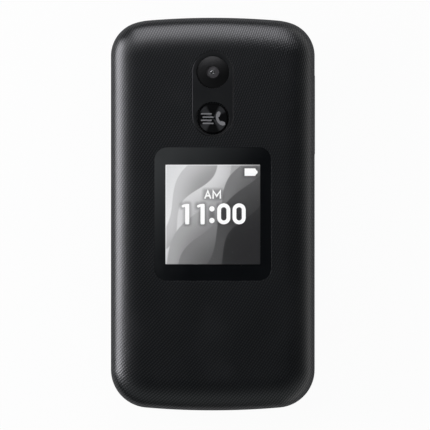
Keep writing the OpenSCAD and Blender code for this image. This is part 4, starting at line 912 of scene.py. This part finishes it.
def make_quick_key():
    """The spun disc, its stem, flange and plunger as one turned shape, and the raised sign on it: four
    staggered lines and a handset, which follow the disc's shallow dish."""
    radius, soft, sag, print_z, thick = 4.15, 0.07, 0.05, 18.945, 0.03
    drawn, up = rounding(soft, 3)
    edge = [(radius - d, 18.93 - soft + rise) for d, rise in zip(drawn, up)]
    face = [(r, 18.95 - sag * (1 - (r / 4.0) ** 2)) for r in np.linspace(3.9, 0, 12)]
    plunger, flange = [(0, 14.9), (1.2, 14.9)], [(1.2, 16.9), (3.8, 16.9), (3.8, 17.4)]
    stem, disc = [(3.1, 17.4), (3.1, 18.55)], [(radius, 18.55), *edge, *face]
    skin = Skin()
    skin.rows(turned([*plunger, *flange, *stem, *disc], (0, KEY_Y), 128))
    piece("quick_key_cap", skin, "quick_key", spun, ["quick_key"])

    def dish(points):
        return -sag * (1 - np.minimum(((points - [0, KEY_Y]) ** 2).sum(1) / 16, 1))

    sign, half = Skin(), 1.31
    for x, y in ((-1.75, 27.04), (-1.75, 25.31), (-1.27, 26.15), (-1.27, 24.46)):
        ribbon(sign, [(x - half, y), (x, y), (x + half, y)], 0.35, print_z, thick, shape=dish)
    grip = [(1.33, 27.0), (1.18, 26.45), (1.15, 25.92), (1.33, 25.35), (1.63, 24.89), (2.08, 24.45),
            (2.6, 24.2)]
    ribbon(sign, grip, 0.7, print_z, thick, shape=dish)
    for at, lean in (((1.48, 26.9), 1.2), ((2.58, 24.5), -0.35)):
        reach = 0.3 * np.array([math.cos(lean), math.sin(lean)])
        ribbon(sign, [at - reach, at, at + reach], 1.0, print_z + 0.003, thick, shape=dish)
    piece("quick_key_sign", sign, "quick_key", sign_grey, weighted=False)


def make_rocker():
    """The side key: a bar whose outline is a superellipse and whose outer face swells, flat behind, with
    a retaining flange."""
    at_y, at_z, half_l, half_h = 26.8, 7.3, 10.8, 1.05
    foot_x, wall_x, soft, flange_x, flange_half = 25.8, 27.32, 0.3, 25.0, 11.4
    bearing = np.linspace(0, TURN, 72, endpoint=False)
    cosine, sine = np.cos(bearing), np.sin(bearing)
    outline = np.stack([np.sign(cosine) * np.abs(cosine) ** 0.28 * half_l,
                        np.sign(sine) * np.abs(sine) ** 0.5 * half_h], 1)

    def section(loop, x):
        return np.column_stack([np.full(len(loop), x), at_y + loop[:, 0], at_z + loop[:, 1]])

    drawn, up = rounding(soft, 5)
    rows = [section(outline * 0.0, foot_x), section(outline, foot_x)]
    rows += [section(outline * (1 - d / np.array([half_l, half_h])), wall_x + rise)
             for d, rise in zip(drawn, up)]
    centre = np.array([wall_x + soft, at_y, at_z])
    rows += [centre + (rows[-1] - centre) * s for s in (0.75, 0.5, 0.25, 0.0)]
    skin = Skin()
    skin.rows(rows)
    flange = np.array([(-1, -1), (1, -1), (1, 1), (-1, 1)]) * [flange_half, half_h]
    skin.rows([section(flange * s, x) for s, x in
               ((0, flange_x), (1, flange_x), (1, foot_x - 0.01), (0, foot_x - 0.01))])
    piece("rocker_cap", skin, "volume_rocker", key_black, ["volume_rocker"])


def make_bumpers():
    """Four rubber feet that keep the halves apart: short discs with a rounded face."""
    skin, radius, soft = Skin(), 1.5, 0.25
    drawn, up = rounding(soft, 4)
    edge = [(radius - d, 9.95 - rise) for d, rise in zip(drawn, up)]
    for at in ((-21.7, -46.3), (21.7, -46.3), (-21.7, 33.8), (21.7, 33.8)):
        skin.rows(turned([(0, 10.3), (radius, 10.3), *edge, (0.6, 9.7), (0, 9.7)], at, 40))
    piece("bumper_feet", skin, "lid", rubber_black, ["lid_bumpers"])


make_lid_cover()
make_window()
make_display_figures()
make_camera_plate()
make_camera()
make_quick_key()
make_rocker()
framed_pane("main_window", "main_window", MAIN_WINDOW, (0.0, MAIN_WINDOW_Y), (*MAIN_SCREEN, 0.4),
            (0.0, MAIN_SCREEN_Y), MAIN_FRONT, MAIN_BACK, sag=0.0, glass=sleeping_glass)
make_bumpers()


# ---------------------------------------------------------------- keys

def key_skin(size, at):
    """A key: crowned cap with a rounded edge, a retaining lip at its foot and a round plunger below."""
    skin = Skin()
    rim = domed_cap(skin, size, at, KEY_TOP, KEY_SAG, 0.32)
    cap, lip, plunger = rim[:, :2], rounded_loop(size, at, KEY_LIP), circle(1.5, at, 40)
    skin.rows([rim, raised(cap, LIP_TOP)])
    skin.level(LIP_TOP, lip, [cap])
    skin.wall([lip, lip], [LIP_TOP, KEY_FOOT])
    skin.level(KEY_FOOT, lip, [plunger])
    skin.wall([plunger, plunger], [KEY_FOOT, KEY_TIP])
    skin.level(KEY_TIP, plunger)
    return skin


def make_key(node, size, at, material, draw):
    """A key, and the marks that draw(skin, shape, at) prints on its crowned face."""
    at = np.asarray(at, float)
    piece(node + "_cap", key_skin(size, at), node, key_black, [node])
    marks = Skin()
    draw(marks, lambda points: crown(points, size, at, 0.0, KEY_SAG), at)
    piece(node + "_figure", marks, node, material, weighted=False)


def lettered(sign, height, stroke):
    """Draws one figure of a height and stroke."""
    return lambda skin, shape, at: figure(skin, sign, at, height, stroke, PRINT_Z, PRINT_T, shape)


def dash(skin, shape, at):
    ribbon(skin, [at - [1.6, 0], at, at + [1.6, 0]], 0.5, PRINT_Z, PRINT_T, shape=shape)


def handset(tilt, lower=0.0):
    """Draws a handset seen from the side: a bowed grip with a heavier pad at each end, turned by a tilt."""
    turn = np.array([[math.cos(tilt), math.sin(tilt)], [-math.sin(tilt), math.cos(tilt)]])

    def draw(skin, shape, at):
        grip = arc(0.0, -1.5, 2.0, 2.0, 145, 35, 12) @ turn + at - [0, lower]
        ribbon(skin, grip, 0.62, PRINT_Z, PRINT_T, shape=shape)
        for end, side in ((grip[0], -1), (grip[-1], 1)):
            down = np.array([side * 0.12, -0.55]) @ turn
            ribbon(skin, [end - down * 0.1, end + down * 0.6, end + down], 0.95, PRINT_Z + 0.003, PRINT_T,
                   shape=shape)

    return draw


for index, sign in enumerate("123456789*0#"):
    make_key("key_" + {"*": "star", "#": "hash"}.get(sign, sign), NUMBER_KEY,
             (COLUMNS[index % 3], ROWS[index // 3]), legend_white, lettered(sign, 3.9, 0.5))
for node, size, at, material, draw in (
        ("soft_key_left", SIDE_KEY, (-17.3, 30.0), legend_white, dash),
        ("soft_key_right", SIDE_KEY, (17.3, 30.0), legend_white, dash),
        ("send_key", SIDE_KEY, (-17.3, 20.8), legend_green, handset(0.75)),
        ("end_key", SIDE_KEY, (17.3, 20.8), legend_red, handset(0.0, lower=0.2)),
        ("clear_key", CLEAR_KEY, (0.0, 11.6), legend_white, lettered("C", 2.4, 0.42))):
    make_key(node, size, at, material, draw)


def make_navigation():
    """The ring and select key in lacquered metal: the ring's face dips towards its middle as a half
    cosine, with four small arrows, and four plungers stand under it."""
    inner_r, outer_r, soft, dip, bore_r, step_z = 5.05, 9.6, 0.35, 0.12, 5.75, 8.85
    drawn, up = rounding(soft, 5)
    radius = np.linspace(outer_r - soft, inner_r + 0.25, 14)

    def dipped(far):
        part = np.clip((far - radius[-1]) / (radius[0] - radius[-1]), 0, 1)
        return -dip * (1 + np.cos(math.pi * part)) / 2

    face = np.column_stack([radius, KEY_TOP + dipped(radius)])
    rim = [(outer_r - d, KEY_TOP - soft + rise) for d, rise in zip(drawn, up)]
    ring = Skin()
    foot = [(bore_r, KEY_FOOT), (outer_r + KEY_LIP, KEY_FOOT), (outer_r + KEY_LIP, LIP_TOP), (outer_r, LIP_TOP)]
    bore = [(inner_r + 0.06, KEY_TOP - 0.2), (inner_r, KEY_TOP - soft), (inner_r, step_z), (bore_r, step_z)]
    ring.rows(turned([*foot, *rim, *face[1:], *bore], NAV, 128), closed=True)
    arrows = Skin()
    for angle in np.arange(4) * math.pi / 2:
        turn = np.array([[math.cos(angle), math.sin(angle)], [-math.sin(angle), math.cos(angle)]])
        ring.rows(turned([(0, KEY_TIP), (1.2, KEY_TIP), (1.2, KEY_FOOT + 0.1), (0, KEY_FOOT + 0.1)],
                         [7.25, 0.0] @ turn + NAV, 32))
        ribbon(arrows, [(7.0, -0.8), (7.8, 0.0), (7.0, 0.8)] @ turn + NAV, 0.34, PRINT_Z, PRINT_T,
               shape=lambda points: dipped(np.hypot(*(points - NAV).T)))
    piece("navigation_dish", ring, "navigation_ring", key_silver, ["navigation_ring"])
    piece("navigation_arrows", arrows, "navigation_ring", sign_dark, weighted=False)

    middle, cap_r, dish_r, edge = Skin(), 4.9, 4.55, 0.3
    rim = [(cap_r - d, KEY_TOP - edge + rise * edge / soft) for d, rise in zip(drawn, up)]
    dome = [(r, KEY_TOP - 0.10 * (1 - (r / dish_r) ** 2)) for r in np.linspace(dish_r, 0, 12)]
    middle.rows(turned([(0, KEY_TIP), (1.5, KEY_TIP), (1.5, KEY_FOOT), (cap_r + KEY_LIP, KEY_FOOT),
                        (cap_r + KEY_LIP, LIP_TOP), (cap_r, LIP_TOP), *rim, *dome[1:]], NAV, 96))
    piece("select_dish", middle, "select_key", key_silver, ["select_key"])


make_navigation()


# ---------------------------------------------------------------- screws

def make_screws():
    """Four cross-recessed screws: a head with a rounded rim whose face falls in four arms towards the
    middle, and a shank with a thread of rings."""
    skin, head_z, seat, tip, head_r, shank_r = Skin(), 2.2, 2.9, 9.1, 1.5, 0.8
    bearing = np.linspace(0, TURN, 72, endpoint=False)
    radius = np.array([head_r, 1.42, 1.25, 1.0, 0.8, 0.6, 0.42, 0.25, 0.12, 0.0])[:, None]
    arms = np.clip((np.abs(np.cos(2 * bearing)) - 0.75) / 0.2, 0, 1)[None, :]
    cross = np.maximum(arms, np.clip((0.32 - radius) / 0.1, 0, 1))
    depth = 0.34 * np.clip((0.9 - radius) / 0.1, 0, 1) * cross
    face = np.stack([radius * np.cos(bearing), radius * np.sin(bearing),
                     head_z + 0.1 * np.clip((radius - 1.25) / 0.25, 0, 1) ** 2 + depth], 2)
    thread = [(shank_r - 0.12 * (k % 2), seat + 0.3 * (k + 1)) for k in range(18)]
    shank = turned([(head_r, seat), (shank_r, seat), *thread, (0.4, tip), (0, tip)], steps=72)
    for x, y in ((-21.3, -46.0), (21.3, -46.0), (-21.5, 36.8), (21.5, 36.8)):
        skin.rows(np.concatenate([face[::-1], shank]) + [x, y, 0.0])
    piece("back_screws", skin, "keypad_half", steel, ["base_screws"])


make_screws()


# ---------------------------------------------------------------- nodes that keep their shape

def dress(node, material):
    """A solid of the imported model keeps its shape: loose corners are welded for smooth shading, split
    again at its edges, and it gets its finish."""
    kept = frame["nodes"][node]
    kept.data.materials.clear()
    kept.data.materials.append(material)
    kept.data.polygons.foreach_set("use_smooth", np.ones(len(kept.data.polygons), bool))
    weld = kept.modifiers.new("weld", "WELD")
    weld.merge_threshold = 1e-6
    split = kept.modifiers.new("edges", "EDGE_SPLIT")
    split.split_angle = math.radians(28)


BY_SLOT = {"lid_shell": lid_plastic, "frame_plastic": frame_black, "base_shell": shell_plastic,
           "battery_cover_plastic": back_plastic, "gloss_window": mask_black, "display": module_black,
           "trim": trim_black, "camera_black": camera_black, "lens_glass": lens_grey, "spun_metal": spun,
           "key_plastic": key_black, "key_metal": key_silver, "steel_part": steel,
           "circuit_board": board_green, "rubber_part": rubber_black, "membrane": membrane_grey,
           "battery_cell": battery_wrap, "contact_metal": gold, "flex_film": flex_amber,
           "module_black": module_black}
OWN = {"main_display": sleeping_screen, "earpiece_mesh": mesh_steel}
for row in frame["record"]["subparts"]:
    dress(row["node"], OWN.get(row["node"], BY_SLOT[row["material_slot"]]))


# ---------------------------------------------------------------- floor, light and camera

def cleared(owner):
    """The graph of a material's or a world's nodes, emptied."""
    owner.use_nodes = True
    owner.node_tree.nodes.clear()
    return Graph(owner.node_tree)


def make_floor():
    """A pale floor a hair under the phone: white to the camera and paler in reflections, with a little of
    the lit surface mixed in so that the shadow stays. It is clear from underneath and to rays that start
    on the phone's back, so that the back is lit when the phone is seen from below."""
    half_side, drop, short_ray = 3.0, 1e-4, 0.0005      # metres
    material = bpy.data.materials.new("pale floor")
    g = cleared(material)
    path = g.node("LightPath").outputs
    mirrored = g.larger(path["Is Glossy Ray"], path["Is Transmission Ray"])
    seen = g.larger(g.times(path["Is Camera Ray"], 0.96), g.times(mirrored, 0.1))
    lit = g.node("BsdfDiffuse", {"Color": (0.45, 0.45, 0.45)}).outputs[0]
    white = g.node("Emission", {"Color": (1, 1, 1), "Strength": 1.0}).outputs[0]
    both = g.node("MixShader", {0: seen, 1: lit, 2: white}).outputs[0]
    under = g.larger(g.node("NewGeometry").outputs["Backfacing"],
                     g.math("LESS_THAN", path["Ray Length"], short_ray))
    clear = g.node("BsdfTransparent").outputs[0]
    g.node("OutputMaterial", {"Surface": g.node("MixShader", {0: under, 1: both, 2: clear}).outputs[0]})
    mesh = bpy.data.meshes.new("floor")
    corners = np.array([(-1, -1), (1, -1), (1, 1), (-1, 1)]) * half_side
    mesh.from_pydata(raised(corners, -drop), [], [(0, 1, 2, 3)])
    mesh.materials.append(material)
    floor = bpy.data.objects.new("floor", mesh)
    scene.collection.objects.link(floor)


def make_world():
    """A pale room as a level of light over the directions: white round the horizon, higher up on the
    right than elsewhere, a grey slope low down in front, and a dim ceiling with a strip of light just to
    the upper left of straight up and a broad glow beyond it. The camera sees plain white."""
    world = scene.world = bpy.data.worlds.new("pale room")
    g = cleared(world)
    way = g.node("TexCoord").outputs["Generated"]
    x, y, z = g.parts(way)
    slant = g.math("SUBTRACT", y, x)
    strip = g.times(g.ease(slant, -0.004, 0.045), g.ease(slant, 0.044, 0.07, 1.0, 0.0))
    strip = g.times(strip, g.ease(g.math("ABSOLUTE", g.plus(x, y)), 0.05, 0.12, 1.0, 0.0))
    glow = g.ease(g.vector("DOT_PRODUCT", way, (-0.522, 0.326, 0.788), out="Value"), 0.9, 0.98)
    ceiling = g.plus(strip, g.times_plus(glow, 0.3, 0.012))
    low = g.ease(z, 0.2, g.ease(x, -0.2, 0.7, 0.35, 0.85), 1.0, 0.0)
    low = g.times(low, g.times(g.ease(x, 0.0, 0.5, 0.1, 1.4), g.ease(z, 0.0, 0.15, 0.5, 1.0)))
    near = g.times(g.ease(y, -0.05, -0.35, 0.0, 0.42),
                   g.times(g.ease(z, 0.1, 0.7), g.ease(z, 0.82, 0.98, 1.0, 0.0)))
    below = g.ease(z, -0.15, -0.05, 0.8, 0.0)
    seen = g.node("LightPath").outputs["Is Camera Ray"]
    level = g.larger(g.larger(g.larger(g.larger(low, near), ceiling), below), seen)
    colour = g.blend(g.math("MAXIMUM", low, seen, clamp=True), (0.93, 0.98, 1.0), (1.0, 1.0, 1.0))
    room = g.node("Background", {"Color": colour, "Strength": level}).outputs[0]
    g.node("OutputWorld", {"Surface": room})


def softbox(name, bearing, elevation, distance, width, height, radiance):
    """A lamp on the end of a distance from the lid's middle, its power being pi * area * radiance."""
    across, up = math.radians(bearing), math.radians(elevation)
    away = Vector((math.sin(across) * math.cos(up), math.cos(across) * math.cos(up), math.sin(up)))
    lamp = bpy.data.lights.new(name, "AREA")
    lamp.shape, lamp.size, lamp.size_y = "RECTANGLE", width, height
    lamp.energy = math.pi * width * height * radiance
    lamp.color = (0.985, 0.98, 1.035)
    made = bpy.data.objects.new(name, lamp)
    made.location = Vector((0, 0, 15 * MM)) + away * distance
    made.rotation_euler = away.to_track_quat("Z", "Y").to_euler()
    scene.collection.objects.link(made)


def make_camera_view():
    """A long lens straight above, almost over the lid's middle."""
    camera = bpy.data.objects.new("camera", bpy.data.cameras.new("camera"))
    camera.data.sensor_width, camera.data.lens = 36.0, 1236.0
    camera.data.clip_start, camera.data.clip_end = 0.05, 20.0
    camera.location = (0.595 * MM, -0.246 * MM, 4.0)
    scene.collection.objects.link(camera)
    scene.camera = camera


make_floor()
make_world()
softbox("left softbox", bearing=-80, elevation=29, distance=0.42, width=0.34, height=0.22, radiance=9.1)
softbox("far softbox", bearing=-6, elevation=44.5, distance=0.5, width=0.30, height=0.38, radiance=4.3)
make_camera_view()
scene.view_settings.view_transform = "Standard"
